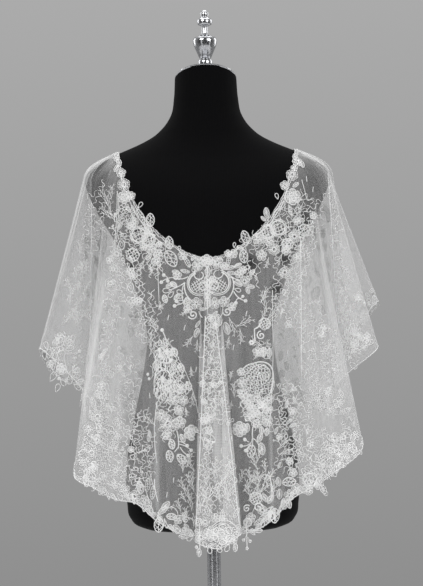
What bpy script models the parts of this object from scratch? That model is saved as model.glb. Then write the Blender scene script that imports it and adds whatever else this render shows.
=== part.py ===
"""Lace shawl worn closed round a limbless dress form on a counter stand.

Metres, +Z up. The shawl's longer back side faces -Y and its front faces +Y. The origin is on the
floor under the pole. Heights in the tables are measured from a datum close under the torso.
"""
import math

import bpy
import numpy as np

MM = 0.001

# Driving sizes.
TORSO_DATUM_Z = 0.450
SEAM_GAP = 0.3 * MM
CLOTH_WALL = 1.2 * MM
CLOTH_LIFT = 2.6 * MM            # middle of the cloth's wall over the torso
NECK_EDGE_LIFT = 1.2 * MM        # the same along the neckline
LACE_WALL = 1.1 * MM
LACE_LIFT = 0.9 * MM             # under raised lace, which bridges small folds

NECKLINE_HALF_WIDTH = 0.139
NECKLINE_BACK_DROP = 0.173
NECKLINE_FRONT_DROP = 0.075
NECKLINE_POWER = 1.7             # 2 is an ellipse, less is more pointed
NECKLINE_SAMPLES = 241

NECK_CAP_TILT = math.radians(21.0)
NECK_CENTRE_Y = 0.010

TORSO_MIDDLE = 0.42              # height from which the neckline's edge is moved out

BASE_RADIUS = 0.150
BASE_HEIGHT = 0.014
POLE_RADIUS = 0.011
FLANGE_RADIUS = 0.040
FLANGE_HEIGHT = 0.006
HUB_HEIGHT = 0.030

# Horizontal sections of the torso. The back depth is towards -Y, the front depth towards +Y.
# height, half width, back depth, front depth, centre y, power of the outline
TORSO_SECTIONS = np.array([
    (0.008, 0.106, 0.084, 0.080, 0.000, 2.20),
    (0.013, 0.120, 0.096, 0.091, 0.000, 2.20),
    (0.025, 0.132, 0.106, 0.098, 0.000, 2.20),
    (0.048, 0.137, 0.110, 0.102, 0.000, 2.20),
    (0.106, 0.137, 0.110, 0.102, 0.000, 2.20),
    (0.190, 0.122, 0.097, 0.095, 0.000, 2.20),
    (0.265, 0.106, 0.082, 0.087, 0.000, 2.20),
    (0.320, 0.101, 0.078, 0.086, 0.000, 2.20),
    (0.363, 0.109, 0.085, 0.099, 0.000, 2.20),
    (0.408, 0.125, 0.096, 0.118, 0.000, 2.20),
    (0.448, 0.140, 0.104, 0.125, 0.000, 2.20),
    (0.480, 0.157, 0.105, 0.119, 0.000, 2.25),
    (0.515, 0.178, 0.101, 0.103, 0.000, 2.30),
    (0.545, 0.191, 0.092, 0.085, 0.000, 2.30),
    (0.566, 0.196, 0.081, 0.071, 0.000, 2.20),
    (0.583, 0.187, 0.070, 0.060, 0.000, 2.10),
    (0.598, 0.163, 0.061, 0.053, 0.001, 2.00),
    (0.609, 0.137, 0.056, 0.050, 0.002, 1.95),
    (0.620, 0.111, 0.053, 0.049, 0.004, 1.90),
    (0.632, 0.088, 0.051, 0.049, 0.006, 1.90),
    (0.647, 0.0705, 0.0500, 0.0490, 0.008, 1.95),
    (0.667, 0.0570, 0.0490, 0.0485, 0.010, 2.00),
    (0.694, 0.0515, 0.0480, 0.0480, 0.010, 2.00),
    (0.724, 0.0495, 0.0480, 0.0480, 0.010, 2.00),
])

# Ribs of the cloth from the neckline to the hem, going round from the back centre by -X, the front
# and +X. The neck value is 0 at the back centre, 1 at the -X shoulder, 2 at the front centre and
# 3 at the +X shoulder. The hem columns place the rib's lower end.
# neck, hem x, hem y, hem height
RIBS = np.array([
    (0.000, 0.007, -0.168, -0.008),     # middle of the centre gore
    (0.035, -0.028, -0.159, 0.003),     # outer edge of the gore's pleat
    (0.070, 0.000, -0.138, 0.010),      # its inner tuck
    (0.115, -0.044, -0.129, 0.009),
    (0.290, -0.085, -0.143, 0.032),     # soft ridge of the back
    (0.440, -0.118, -0.121, 0.058),
    (0.580, -0.150, -0.133, 0.066),     # soft ridge
    (0.700, -0.183, -0.108, 0.082),
    (0.800, -0.214, -0.113, 0.101),     # side corner of the back panel
    (0.870, -0.180, -0.070, 0.195),     # fold behind it
    (0.950, -0.270, -0.030, 0.298),     # outer corner of the wing
    (1.030, -0.255, 0.022, 0.257),
    (1.130, -0.202, 0.048, 0.225),
    (1.260, -0.213, 0.098, 0.203),
    (1.420, -0.152, 0.101, 0.195),
    (1.590, -0.103, 0.146, 0.172),      # ridge of the front
    (1.790, -0.053, 0.128, 0.156),
    (2.000, 0.000, 0.152, 0.143),       # front centre
    (2.210, 0.052, 0.128, 0.154),
    (2.410, 0.101, 0.146, 0.168),
    (2.580, 0.152, 0.101, 0.193),
    (2.740, 0.208, 0.101, 0.178),
    (2.870, 0.209, 0.058, 0.250),
    (2.970, 0.272, 0.024, 0.363),       # upper corner of the wing
    (3.025, 0.222, -0.003, 0.300),
    (3.080, 0.266, -0.034, 0.293),      # middle corner of the wing
    (3.140, 0.192, -0.060, 0.222),      # fold behind the back panel
    (3.205, 0.234, -0.106, 0.139),      # side corner of the back panel
    (3.265, 0.188, -0.110, 0.099),
    (3.340, 0.156, -0.132, 0.081),      # soft ridge
    (3.500, 0.121, -0.120, 0.060),
    (3.680, 0.090, -0.144, 0.031),      # soft ridge of the back
    (3.885, 0.058, -0.129, 0.012),
    (3.930, 0.015, -0.138, 0.010),      # inner tuck of the pleat
    (3.965, 0.043, -0.159, 0.015),      # outer edge of the gore's pleat
])

# First and last rib of each cloth panel, a half meaning midway to the next rib.
PANELS = (
    ("back_gore", -1.5, 1.5),
    ("back_panel_left", 1.5, 8.5),
    ("wing_left", 8.5, 13.0),
    ("front_panel_left", 13.0, 17.0),
    ("front_panel_right", 17.0, 21.0),
    ("wing_right", 21.0, 26.5),
    ("back_panel_right", 26.5, 33.5),
)

HEM_STEP = 0.025                 # widest grid step along the hem
GRID_ROWS = 15
ROW_CROWDING = 1.45              # over 1 puts more rows near the neckline
STRING_STATIONS = 56
STRING_PASSES = 3600

# Raised lace along the hem: the stretch of ribs it covers, the height of its upper edge over the
# hem, and how much that rises at the stretch's highest place, which lies at a share of its length.
# first rib, last rib, height, rise, place of the rise
HEM_LACE = {
    "hem_lace_gore": (34, 36, 0.046, 0.026, 0.50),
    "hem_lace_back_left": (3, 8, 0.034, 0.040, 0.90),
    "hem_lace_wing_left": (9, 13, 0.030, 0.042, 0.28),
    "hem_lace_front_left": (13, 17, 0.032, 0.020, 1.00),
    "hem_lace_front_right": (17, 21, 0.032, 0.020, 0.00),
    "hem_lace_wing_right": (21, 25, 0.026, 0.030, 0.70),
    "hem_lace_back_right": (27, 32, 0.034, 0.036, 0.12),
}
HEM_SCALLOP_PITCH = 0.040
HEM_SCALLOP_DROP = 0.007         # how far the scallops' tips hang under the cloth's edge
HEM_SCALLOP_LIFT = 0.006         # the same over the lace's upper edge
HEM_RISE_SPREAD = 0.38           # half length of the rise, as a share of the stretch
HEM_LACE_STEP = 0.016

# Raised lace along the neckline, in neck values, and its widths.
NECK_LACE = {
    "neck_lace_back_left": (0.0, 1.0),
    "neck_lace_front": (1.0, 3.0),
    "neck_lace_back_right": (3.0, 4.0),
}
NECK_LACE_WIDTH = 0.046
NECK_LACE_WAVE = 0.014
NECK_LACE_OVERHANG = 0.003
NECK_LACE_PITCH = 0.046
NECK_LACE_STEP = 0.015

# Appliques: the places across the cloth, as rib numbers, and at each the distance from the
# neckline at which the applique starts and ends. It bridges the gore's pleat.
# rib, start, end
APPLIQUES = {
    "back_medallion": (
        (4.00, 0.049, 0.060),
        (3.70, 0.048, 0.078),
        (3.35, 0.048, 0.074),
        (3.00, 0.048, 0.088),
        (1.00, 0.047, 0.104),
        (0.50, 0.047, 0.116),
        (0.00, 0.047, 0.120),
        (-0.50, 0.047, 0.114),
        (-1.00, 0.047, 0.104),
        (-3.00, 0.048, 0.092),
        (-3.40, 0.048, 0.080),
        (-3.75, 0.048, 0.076),
        (-4.00, 0.049, 0.062),
    ),
    "side_applique_left": (
        (4.45, 0.205, 0.235),
        (4.25, 0.165, 0.275),
        (4.00, 0.125, 0.300),
        (3.75, 0.105, 0.315),
        (3.50, 0.120, 0.300),
        (3.25, 0.150, 0.285),
        (3.05, 0.200, 0.260),
    ),
    "side_applique_right": (
        (-3.05, 0.185, 0.245),
        (-3.25, 0.150, 0.290),
        (-3.50, 0.115, 0.320),
        (-3.75, 0.095, 0.335),
        (-4.00, 0.110, 0.320),
        (-4.25, 0.155, 0.290),
        (-4.45, 0.200, 0.240),
    ),
}

APPLIQUE_ROWS = 5

NECK_TOP = TORSO_SECTIONS[-1, 0]
NECK_TILT_START = 0.655          # height over which the rings begin to tilt
TORSO_EXTRA_LEVELS = (0.148, 0.228, 0.293, 0.385, 0.428, 0.498, 0.530, 0.556)
TORSO_COLUMNS = 40
TURNED_SIDES = 32


def curve_through(knots, values, at):
    """Cubic curve through the rows of values, with each knot's slope taken from its neighbours."""
    gaps = np.diff(knots)[:, None]
    chords = np.diff(values, axis=0) / gaps
    slopes = np.empty_like(values)
    slopes[1:-1] = (chords[:-1] * gaps[1:] + chords[1:] * gaps[:-1]) / (gaps[:-1] + gaps[1:])
    slopes[0] = chords[0]
    slopes[-1] = chords[-1]
    cell = np.clip(np.searchsorted(knots, at, side="right") - 1, 0, len(gaps) - 1)
    gap = gaps[cell]
    f = ((at - knots[cell])[:, None]) / gap
    start = values[cell] * (1 + 2 * f) * (1 - f) ** 2 + slopes[cell] * gap * f * (1 - f) ** 2
    end = values[cell + 1] * f * f * (3 - 2 * f) - slopes[cell + 1] * gap * f * f * (1 - f)
    return start + end


def torso_section(height):
    """Half width, back depth, front depth, centre y and power at each height."""
    return curve_through(TORSO_SECTIONS[:, 0], TORSO_SECTIONS[:, 1:], np.atleast_1d(height)).T


def torso_depth(x, height, side):
    """y of the torso's surface at x and height, on the back (side -1) or the front (side +1)."""
    half_width, back, front, centre, power = torso_section(height)
    depth = back if side < 0 else front
    inside = np.clip(1.0 - np.abs(x / half_width) ** power, 0.0, 1.0)
    return centre + side * depth * inside ** (1.0 / power)


def torso_top(x, y, ceiling, lift):
    """Highest point under the ceiling of the torso, grown by lift, over each plan point.

    Points outside the torso get a low value.
    """
    levels = np.linspace(0.05, 0.64, 300)
    half_width, back, front, centre, power = torso_section(levels)
    top = np.full(x.shape, -1.0)
    for index, level in enumerate(levels):
        away = y - centre[index]
        depth = np.where(away < 0, back[index], front[index]) + lift
        reach = np.abs(x / (half_width[index] + lift)) ** power[index]
        reach += np.abs(away / depth) ** power[index]
        top = np.where((reach <= 1.0) & (level <= ceiling), level + lift, top)
    return top


def shoulder_height(x):
    """Height of the torso's ridge at x, found between the shoulder tip and the neck."""
    levels = np.linspace(0.566, 0.66, 400)
    widths = torso_section(levels)[0]
    return float(np.interp(-x, -widths, levels))


def neckline():
    """Points of the neckline at even steps of the neck value from 0 to 4, as rows x, y, height."""
    top = shoulder_height(NECKLINE_HALF_WIDTH)
    quarters = []
    for side, drop in ((-1, NECKLINE_BACK_DROP), (1, NECKLINE_FRONT_DROP)):
        angle = np.linspace(0.0, math.pi / 2, 400)
        across = NECKLINE_HALF_WIDTH * np.sin(angle) ** (2 / NECKLINE_POWER)
        height = top - drop * np.cos(angle) ** (2 / NECKLINE_POWER)
        deep = torso_depth(across, height, side)
        deep[-1] = torso_section(top)[3][0]
        points = np.stack([-across, deep, height], axis=1)
        length = np.concatenate([[0], np.cumsum(np.linalg.norm(np.diff(points, axis=0), axis=1))])
        even = np.linspace(0, length[-1], NECKLINE_SAMPLES)
        quarters.append(np.stack([np.interp(even, length, points[:, k]) for k in range(3)], axis=1))
    back, front = quarters
    mirror = np.array([-1, 1, 1])
    loop = [back[:-1], front[::-1][:-1], (front * mirror)[:-1], (back * mirror)[::-1]]
    return np.concatenate(loop)


def neck_points(neck_value):
    """Neckline points at each neck value, moved out from the torso by the edge's lift."""
    loop = neckline()
    values = np.linspace(0, 4, len(loop))
    wrapped = np.mod(neck_value, 4.0)
    points = np.stack([np.interp(wrapped, values, loop[:, k]) for k in range(3)], axis=1)
    ahead = np.stack([np.interp(np.mod(wrapped + 0.01, 4.0), values, loop[:, k]) for k in range(3)],
                     axis=1)
    along = unit(ahead - points)
    out = points - np.array([0.0, 0.0, TORSO_MIDDLE])
    out -= along * np.sum(out * along, axis=1)[:, None]
    return points + unit(out) * NECK_EDGE_LIFT


def rib_knots():
    """Even-handed knot of each rib: the square roots of the hem's chords, added up."""
    hem = RIBS[:, 1:]
    around = np.vstack([hem, hem[:1]])
    chords = np.linalg.norm(np.diff(around, axis=0), axis=1)
    return np.concatenate([[0], np.cumsum(np.sqrt(chords))]), chords


def column_knots():
    """Knots of the grid's columns, and the column on which each rib lies."""
    knots, chords = rib_knots()
    columns = []
    rib_column = []
    for rib, chord in enumerate(chords):
        rib_column.append(len(columns))
        steps = max(2, math.ceil(chord / HEM_STEP))
        columns.extend(np.linspace(knots[rib], knots[rib + 1], steps, endpoint=False))
    return np.array(columns), rib_column


def rib_ends(at):
    """Neck value and hem point at each knot, by a closed curve through the ribs' table."""
    knots, _ = rib_knots()
    turn = knots[-1]
    wrap = 3
    rows = np.vstack([RIBS[-wrap:], RIBS, RIBS[:wrap + 1]])
    rows[:wrap, 0] -= 4.0
    rows[-wrap - 1:, 0] += 4.0
    long_knots = np.concatenate([knots[-wrap - 1:-1] - turn, knots[:-1], knots[:wrap + 1] + turn])
    ends = curve_through(long_knots, rows, at)
    return ends[:, 0], ends[:, 1:]


def taut_strings(start, end):
    """Heights of strings pulled tight from start to end over the torso, at even plan stations."""
    share = np.linspace(0.0, 1.0, STRING_STATIONS)[None, :]
    x = start[:, :1] + (end[:, :1] - start[:, :1]) * share
    y = start[:, 1:2] + (end[:, 1:2] - start[:, 1:2]) * share
    floor = torso_top(x, y, start[:, 2:3], CLOTH_LIFT)
    floor[:, 0] = start[:, 2]
    floor[:, -1] = end[:, 2]
    line = start[:, 2:3] + (end[:, 2:3] - start[:, 2:3]) * share
    z = np.maximum(floor, line)
    for _ in range(STRING_PASSES):
        z[:, 1:-1] = np.maximum(floor[:, 1:-1], (z[:, :-2] + z[:, 2:]) / 2)
    return np.stack([x, y, z], axis=2)


def cloth_grid():
    """Middle of the cloth as columns x rows x 3, each rib's column, each column's neck value."""
    at, rib_column = column_knots()
    neck_value, hem = rib_ends(at)
    strings = taut_strings(neck_points(neck_value), hem)
    steps = np.linalg.norm(np.diff(strings, axis=1), axis=2)
    length = np.concatenate([np.zeros((len(at), 1)), np.cumsum(steps, axis=1)], axis=1)
    share = np.linspace(0, 1, GRID_ROWS + 1) ** ROW_CROWDING
    grid = np.empty((len(at), GRID_ROWS + 1, 3))
    for column in range(len(at)):
        wanted = share * length[column, -1]
        for axis in range(3):
            grid[column, :, axis] = np.interp(wanted, length[column], strings[column, :, axis])
    grid[:, :, 2] += TORSO_DATUM_Z
    return grid, rib_column, neck_value


def unit(vectors):
    """Vectors scaled to length one along their last axis."""
    return vectors / np.linalg.norm(vectors, axis=-1, keepdims=True)


def cloth_normals(grid):
    """Outward unit normal at each grid point, square to the bisector of its two neighbours."""
    down = unit(np.gradient(grid, axis=1))
    around = np.zeros_like(grid)
    for neighbour, sign in ((np.roll(grid, -1, axis=0), 1.0), (np.roll(grid, 1, axis=0), -1.0)):
        step = neighbour - grid
        step -= down * np.sum(step * down, axis=2, keepdims=True)
        around += sign * unit(step)
    return unit(np.cross(around, down))


def material(name, colour, roughness, metallic=0.0, alpha=1.0):
    """Principled material with one plain finish."""
    made = bpy.data.materials.new(name)
    made.use_nodes = True
    shader = made.node_tree.nodes["Principled BSDF"]
    shader.inputs["Base Color"].default_value = (*colour, 1.0)
    shader.inputs["Roughness"].default_value = roughness
    shader.inputs["Metallic"].default_value = metallic
    shader.inputs["Alpha"].default_value = alpha
    return made


def add_object(name, points, faces, finish):
    """New object from points and faces, shaded smooth up to 40 degrees."""
    mesh = bpy.data.meshes.new(name)
    mesh.from_pydata([tuple(p) for p in points], [], faces)
    mesh.materials.append(finish)
    mesh.shade_smooth()
    mesh.set_sharp_from_angle(angle=math.radians(40))
    made = bpy.data.objects.new(name, mesh)
    bpy.context.scene.collection.objects.link(made)
    return made


def wall_between(name, inner, outer, finish):
    """Closed wall between two grids of equal shape, split into triangles along one diagonal."""
    columns, rows = outer.shape[:2]
    size = columns * rows
    points = np.concatenate([outer.reshape(-1, 3), inner.reshape(-1, 3)])
    faces = []
    for c in range(columns - 1):
        for r in range(rows - 1):
            a, b = c * rows + r, (c + 1) * rows + r
            faces += [(a, a + 1, b + 1), (a, b + 1, b)]
            faces += [(size + a, size + b + 1, size + a + 1), (size + a, size + b, size + b + 1)]
    for c in range(columns - 1):
        a, b = c * rows, (c + 1) * rows
        faces.append((a, b, size + b, size + a))
        a, b = a + rows - 1, b + rows - 1
        faces.append((b, a, size + a, size + b))
    for r in range(rows - 1):
        a = r
        faces += [(a + 1, a, size + a + 1), (a, size + a, size + a + 1)]
        a = (columns - 1) * rows + r
        faces += [(a, a + 1, size + a + 1), (a, size + a + 1, size + a)]
    return add_object(name, points, [f[::-1] for f in faces], finish)


def trimmed(block, trim):
    """Copy of a grid block whose first and last columns are pulled in by trim."""
    block = block.copy()
    for edge, beside in ((0, 1), (-1, -2)):
        inward = block[beside] - block[edge]
        block[edge] += unit(inward) * trim
    return block


def grid_block(grid, first, last):
    """Columns first to last of a closed grid, wrapping past its end."""
    return grid[np.arange(first, last + 1) % len(grid)]


def build_panels(grid, normals, rib_column, finish):
    """One closed wall for each panel of the shawl."""
    for name, *ribs in PANELS:
        first, last = [round(rib_place(rib, rib_column, len(grid))) for rib in ribs]
        middle = grid_block(grid, first, last)
        out = grid_block(normals, first, last) * CLOTH_WALL / 2
        wall_between(name, trimmed(middle - out, SEAM_GAP / 2), trimmed(middle + out, SEAM_GAP / 2),
                     finish)


def rib_place(rib, rib_column, total):
    """Column number, with its fraction, of a rib number that may be fractional or under nought."""
    ribs = len(rib_column)
    column = np.array(rib_column + [total])
    turns = math.floor(rib / ribs)
    return turns * total + float(np.interp(rib - turns * ribs, np.arange(ribs + 1), column))


def on_cloth(cloth, column, distance):
    """Point and outward normal of the cloth's middle at a column and a distance down from the neck.

    Both come from the four grid points round the place. Past the neckline or the hem the point
    goes straight on along its column.
    """
    grid, normals, length = cloth
    low = math.floor(column)
    blend = column - low
    a, b = low % len(grid), (low + 1) % len(grid)
    line = grid[a] * (1 - blend) + grid[b] * blend
    outward = normals[a] * (1 - blend) + normals[b] * blend
    down = length[a] * (1 - blend) + length[b] * blend
    row = int(np.clip(np.searchsorted(down, distance, side="right") - 1, 0, len(down) - 2))
    f = (distance - down[row]) / (down[row + 1] - down[row])
    point = line[row] * (1 - f) + line[row + 1] * f
    g = min(max(f, 0.0), 1.0)
    return point, unit(outward[row] * (1 - g) + outward[row + 1] * g)


def lace_piece(name, cloth, places, finish):
    """Thin closed piece that lies on the cloth, from places (column, distance, distance ...)."""
    inner, outer = [], []
    for column, *distances in places:
        for distance in distances:
            point, normal = on_cloth(cloth, column, distance)
            inner.append(point + normal * (CLOTH_WALL / 2 + LACE_LIFT))
            outer.append(point + normal * (CLOTH_WALL / 2 + LACE_LIFT + LACE_WALL))
    shape = (len(places), -1, 3)
    wall_between(name, trimmed(np.reshape(inner, shape), SEAM_GAP),
                 trimmed(np.reshape(outer, shape), SEAM_GAP), finish)


def columns_between(line, first, last, step):
    """Columns from first to last of a closed line of points, and the length along it to each.

    All whole columns are among them, and wide gaps between them are split until under the step.
    """
    whole = np.unique(np.concatenate([[first], np.arange(math.ceil(first), last), [last]]))
    columns = [first]
    for left, right in zip(whole[:-1], whole[1:]):
        a, b = math.floor(left) % len(line), math.ceil(right) % len(line)
        parts = max(1, math.ceil(np.linalg.norm(line[b] - line[a]) / step))
        columns.extend(np.linspace(left, right, parts + 1)[1:])
    columns = np.array(columns)
    low = np.floor(columns).astype(int)
    blend = (columns - low)[:, None]
    path = line[low % len(line)] * (1 - blend) + line[(low + 1) % len(line)] * blend
    return columns, np.concatenate([[0], np.cumsum(np.linalg.norm(np.diff(path, axis=0), axis=1))])


def row_distance(length, columns, row):
    """Distance from the neckline of a grid row at columns that may be fractional."""
    closed = np.append(length[:, row], length[0, row])
    return np.interp(columns % len(length), np.arange(len(closed)), closed)


def scallop(length, pitch):
    """Round scallops of height 0 to 1, whole ones over the length."""
    count = max(1, round(length[-1] / pitch))
    return np.abs(np.sin(math.pi * count * length / length[-1]))


def build_hem_lace(cloth, rib_column, finish):
    """Scalloped lace on the outside along the hem, in one piece for each stretch."""
    grid, _, length = cloth
    total = len(grid)
    for name, (first, last, height, rise, peak) in HEM_LACE.items():
        ends = [rib_place(rib, rib_column, total) for rib in (first, last)]
        columns, along = columns_between(grid[:, -1], *ends, HEM_LACE_STEP)
        share = along / along[-1]
        bump = np.clip(1 - np.abs(share - peak) / HEM_RISE_SPREAD, 0, 1) ** 2
        wave = scallop(along, HEM_SCALLOP_PITCH)
        hem = row_distance(length, columns, -1)
        start = hem - height - rise * bump - HEM_SCALLOP_LIFT * wave
        end = hem + HEM_SCALLOP_DROP * wave
        lace_piece(name, cloth, list(zip(columns, start, (start + hem) / 2, end)), finish)


def build_neck_lace(cloth, neck_value, finish):
    """Lace band along the neckline, over the back and over the front."""
    grid, _, length = cloth
    count = len(grid)
    values = np.append(neck_value, neck_value[0] + 4.0)
    for name, (first, last) in NECK_LACE.items():
        ends = np.interp([first, last], values, np.arange(count + 1))
        columns, along = columns_between(grid[:, 0], *ends, NECK_LACE_STEP)
        wave = scallop(along, NECK_LACE_PITCH)
        first_row, second_row, third_row = [row_distance(length, columns, row) for row in (1, 2, 3)]
        start = -NECK_LACE_OVERHANG * wave
        end = np.minimum(NECK_LACE_WIDTH - NECK_LACE_WAVE * (1 - wave), third_row)
        lace_piece(name, cloth, list(zip(columns, start, first_row, second_row, end)), finish)


def build_appliques(cloth, rib_column, finish):
    """Medallion and side appliques on the back."""
    total = len(cloth[0])
    for name, table in APPLIQUES.items():
        places = [(rib_place(rib, rib_column, total), *np.linspace(start, end, APPLIQUE_ROWS + 1))
                  for rib, start, end in table]
        places.sort()
        lace_piece(name, cloth, places, finish)


def ring_points(half_width, back, front, centre, power, height):
    """One horizontal ring of the torso."""
    turn = np.linspace(0, 2 * math.pi, TORSO_COLUMNS, endpoint=False)
    side, deep = np.cos(turn), np.sin(turn)
    x = np.sign(side) * np.abs(side) ** (2 / power) * half_width
    depth = np.where(deep < 0, back, front)
    y = centre + np.sign(deep) * np.abs(deep) ** (2 / power) * depth
    return np.stack([x, y, np.full_like(x, height)], axis=1)


def build_torso(finish):
    """Smooth limbless torso from its sections, with a neck top that tilts to the front."""
    levels = np.sort(np.concatenate([TORSO_SECTIONS[:, 0], TORSO_EXTRA_LEVELS]))
    rings = []
    for level in levels:
        ring = ring_points(*[v[0] for v in torso_section(level)], level)
        tilt = np.clip((level - NECK_TILT_START) / (NECK_TOP - NECK_TILT_START), 0, 1)
        ring[:, 2] -= tilt * math.tan(NECK_CAP_TILT) * (ring[:, 1] - NECK_CENTRE_Y)
        rings.append(ring)
    points = np.concatenate(rings)
    points[:, 2] += TORSO_DATUM_Z
    faces = []
    for r in range(len(levels) - 1):
        for c in range(TORSO_COLUMNS):
            a, b = r * TORSO_COLUMNS + c, r * TORSO_COLUMNS + (c + 1) % TORSO_COLUMNS
            faces.append((a, b, b + TORSO_COLUMNS, a + TORSO_COLUMNS))
    faces.append(tuple(range(TORSO_COLUMNS))[::-1])
    faces.append(tuple(range((len(levels) - 1) * TORSO_COLUMNS, len(levels) * TORSO_COLUMNS)))
    add_object("torso", points, faces, finish)


def turned(name, profile, finish, centre_y=0.0, tilt_rows=0, sides=TURNED_SIDES):
    """Solid turned round the vertical through centre_y, from rows radius, height going upwards.

    The first tilt_rows rows slope with the neck cap. Every row has a radius over nought.
    """
    turn = np.linspace(0, 2 * math.pi, sides, endpoint=False)
    rings = []
    for row, (radius, height) in enumerate(profile):
        ring = np.stack([radius * np.cos(turn), radius * np.sin(turn), np.full(sides, height)], 1)
        if row < tilt_rows:
            ring[:, 2] -= math.tan(NECK_CAP_TILT) * ring[:, 1]
        ring[:, 1] += centre_y
        rings.append(ring)
    points = np.concatenate(rings)
    faces = []
    for r in range(len(profile) - 1):
        for c in range(sides):
            a, b = r * sides + c, r * sides + (c + 1) % sides
            faces.append((a, b, b + sides, a + sides))
    faces.append(tuple(range(sides))[::-1])
    faces.append(tuple(range((len(profile) - 1) * sides, len(profile) * sides)))
    return add_object(name, points, faces, finish)


def build_cap_and_finial(finish):
    """Metal cap on the neck and the turned finial that stands on it."""
    neck_top = TORSO_DATUM_Z + NECK_TOP
    cap = [(0.0485, 0.0), (0.0495, 0.0012), (0.0490, 0.0024), (0.036, 0.0040), (0.020, 0.0048)]
    cap_rows = [(radius, neck_top + SEAM_GAP + height) for radius, height in cap]
    turned("neck_cap", cap_rows, finish, NECK_CENTRE_Y, tilt_rows=len(cap_rows))
    foot = cap_rows[-1][1] + SEAM_GAP
    ring_top = TORSO_DATUM_Z + 0.7580
    base = [(0.0092, foot), (0.0092, foot + 0.012), (0.0108, ring_top - 0.0085),
            (0.0112, ring_top - 0.0050), (0.0104, ring_top - 0.0012), (0.0090, ring_top)]
    turned("finial_base", base, finish, NECK_CENTRE_Y, tilt_rows=1, sides=24)
    urn_foot = ring_top + SEAM_GAP
    urn = [(0.0086, 0.0), (0.0100, 0.0020), (0.0122, 0.0070), (0.0152, 0.0138), (0.0178, 0.0205),
           (0.0192, 0.0262), (0.0193, 0.0298), (0.0176, 0.0332), (0.0140, 0.0352)]
    turned("finial_urn", [(r, urn_foot + h) for r, h in urn], finish, NECK_CENTRE_Y, sides=24)
    top_foot = urn_foot + urn[-1][1] + SEAM_GAP
    top = [(0.0092, 0.0), (0.0096, 0.0012), (0.0062, 0.0030), (0.0050, 0.0100), (0.0058, 0.0165),
           (0.0106, 0.0188), (0.0120, 0.0225), (0.0116, 0.0265), (0.0080, 0.0298),
           (0.0060, 0.0315), (0.0066, 0.0350), (0.0058, 0.0392), (0.0028, 0.0418)]
    turned("finial_top", [(r, top_foot + h) for r, h in top], finish, NECK_CENTRE_Y, sides=24)


def build_stand(finish):
    """Flange under the torso, pole, hub and round base plate."""
    edge = 0.004
    base = [(BASE_RADIUS - 0.002, 0.0), (BASE_RADIUS, 0.002), (BASE_RADIUS, BASE_HEIGHT - edge),
            (BASE_RADIUS - edge, BASE_HEIGHT - 0.001), (BASE_RADIUS * 0.6, BASE_HEIGHT + 0.003),
            (0.040, BASE_HEIGHT + 0.005)]
    turned("base_plate", base, finish, sides=48)
    hub_foot = base[-1][1] + SEAM_GAP
    hub = [(0.027, hub_foot), (0.027, hub_foot + 0.004), (0.020, hub_foot + 0.009),
           (0.0165, hub_foot + HUB_HEIGHT - 0.003), (0.0150, hub_foot + HUB_HEIGHT)]
    turned("pole_hub", hub, finish, sides=24)
    pole_foot = hub_foot + HUB_HEIGHT + SEAM_GAP
    flange_foot = TORSO_DATUM_Z + TORSO_SECTIONS[0, 0] - SEAM_GAP - FLANGE_HEIGHT
    pole = [(POLE_RADIUS, pole_foot), (POLE_RADIUS, flange_foot - SEAM_GAP)]
    turned("pole", pole, finish, sides=24)
    flange = [(0.022, flange_foot), (FLANGE_RADIUS - 0.002, flange_foot + 0.002),
              (FLANGE_RADIUS, flange_foot + 0.0035), (FLANGE_RADIUS, flange_foot + FLANGE_HEIGHT)]
    turned("torso_flange", flange, finish)


def main():
    for leftover in list(bpy.data.objects):
        bpy.data.objects.remove(leftover, do_unlink=True)
    tulle = material("white_tulle", (0.86, 0.86, 0.86), 0.75, alpha=0.45)
    lace = material("white_corded_lace", (0.93, 0.93, 0.93), 0.6)
    jersey = material("black_jersey", (0.008, 0.008, 0.009), 0.85)
    chrome = material("polished_chrome", (0.72, 0.72, 0.74), 0.12, metallic=1.0)
    grid, rib_column, neck_value = cloth_grid()
    normals = cloth_normals(grid)
    build_panels(grid, normals, rib_column, tulle)
    steps = np.linalg.norm(np.diff(grid, axis=1), axis=2)
    length = np.concatenate([np.zeros((len(grid), 1)), np.cumsum(steps, axis=1)], axis=1)
    cloth = (grid, normals, length)
    build_hem_lace(cloth, rib_column, lace)
    build_neck_lace(cloth, neck_value, lace)
    build_appliques(cloth, rib_column, lace)
    build_torso(jersey)
    build_cap_and_finial(chrome)
    build_stand(chrome)


main()
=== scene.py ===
"""Looks of a white lace shawl worn closed round a limbless black dress form on a chrome stand.

Lengths are metres and +Z is up. The shawl's longer back side faces -Y and its front faces +Y.
"""
from __future__ import annotations

import logging
import math
from dataclasses import dataclass, field
from enum import Enum
from itertools import compress
from typing import Any, Iterable, Sequence

import bmesh
import bpy
import numpy as np
from mathutils import Matrix, Vector

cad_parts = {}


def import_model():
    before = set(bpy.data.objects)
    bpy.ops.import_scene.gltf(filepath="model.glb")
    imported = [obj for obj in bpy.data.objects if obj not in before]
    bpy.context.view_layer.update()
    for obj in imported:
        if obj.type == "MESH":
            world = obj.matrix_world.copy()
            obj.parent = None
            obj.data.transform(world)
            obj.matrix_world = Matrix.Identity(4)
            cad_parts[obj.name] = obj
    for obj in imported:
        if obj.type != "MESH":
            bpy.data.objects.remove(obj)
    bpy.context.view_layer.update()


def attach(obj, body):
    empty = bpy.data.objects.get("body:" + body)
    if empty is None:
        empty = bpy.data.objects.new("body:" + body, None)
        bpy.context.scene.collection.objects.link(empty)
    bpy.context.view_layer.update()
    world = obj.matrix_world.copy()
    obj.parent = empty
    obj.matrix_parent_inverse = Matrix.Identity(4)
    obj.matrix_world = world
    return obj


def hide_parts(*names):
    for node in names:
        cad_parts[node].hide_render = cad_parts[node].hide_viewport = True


LOG = logging.getLogger("lace_shawl")
MM = 0.001
BODY = "root"

Array = np.ndarray
Piece = bpy.types.Object
Material = bpy.types.Material
Socket = bpy.types.NodeSocket


# ---------------------------------------------------------------------------- small helpers

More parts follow.
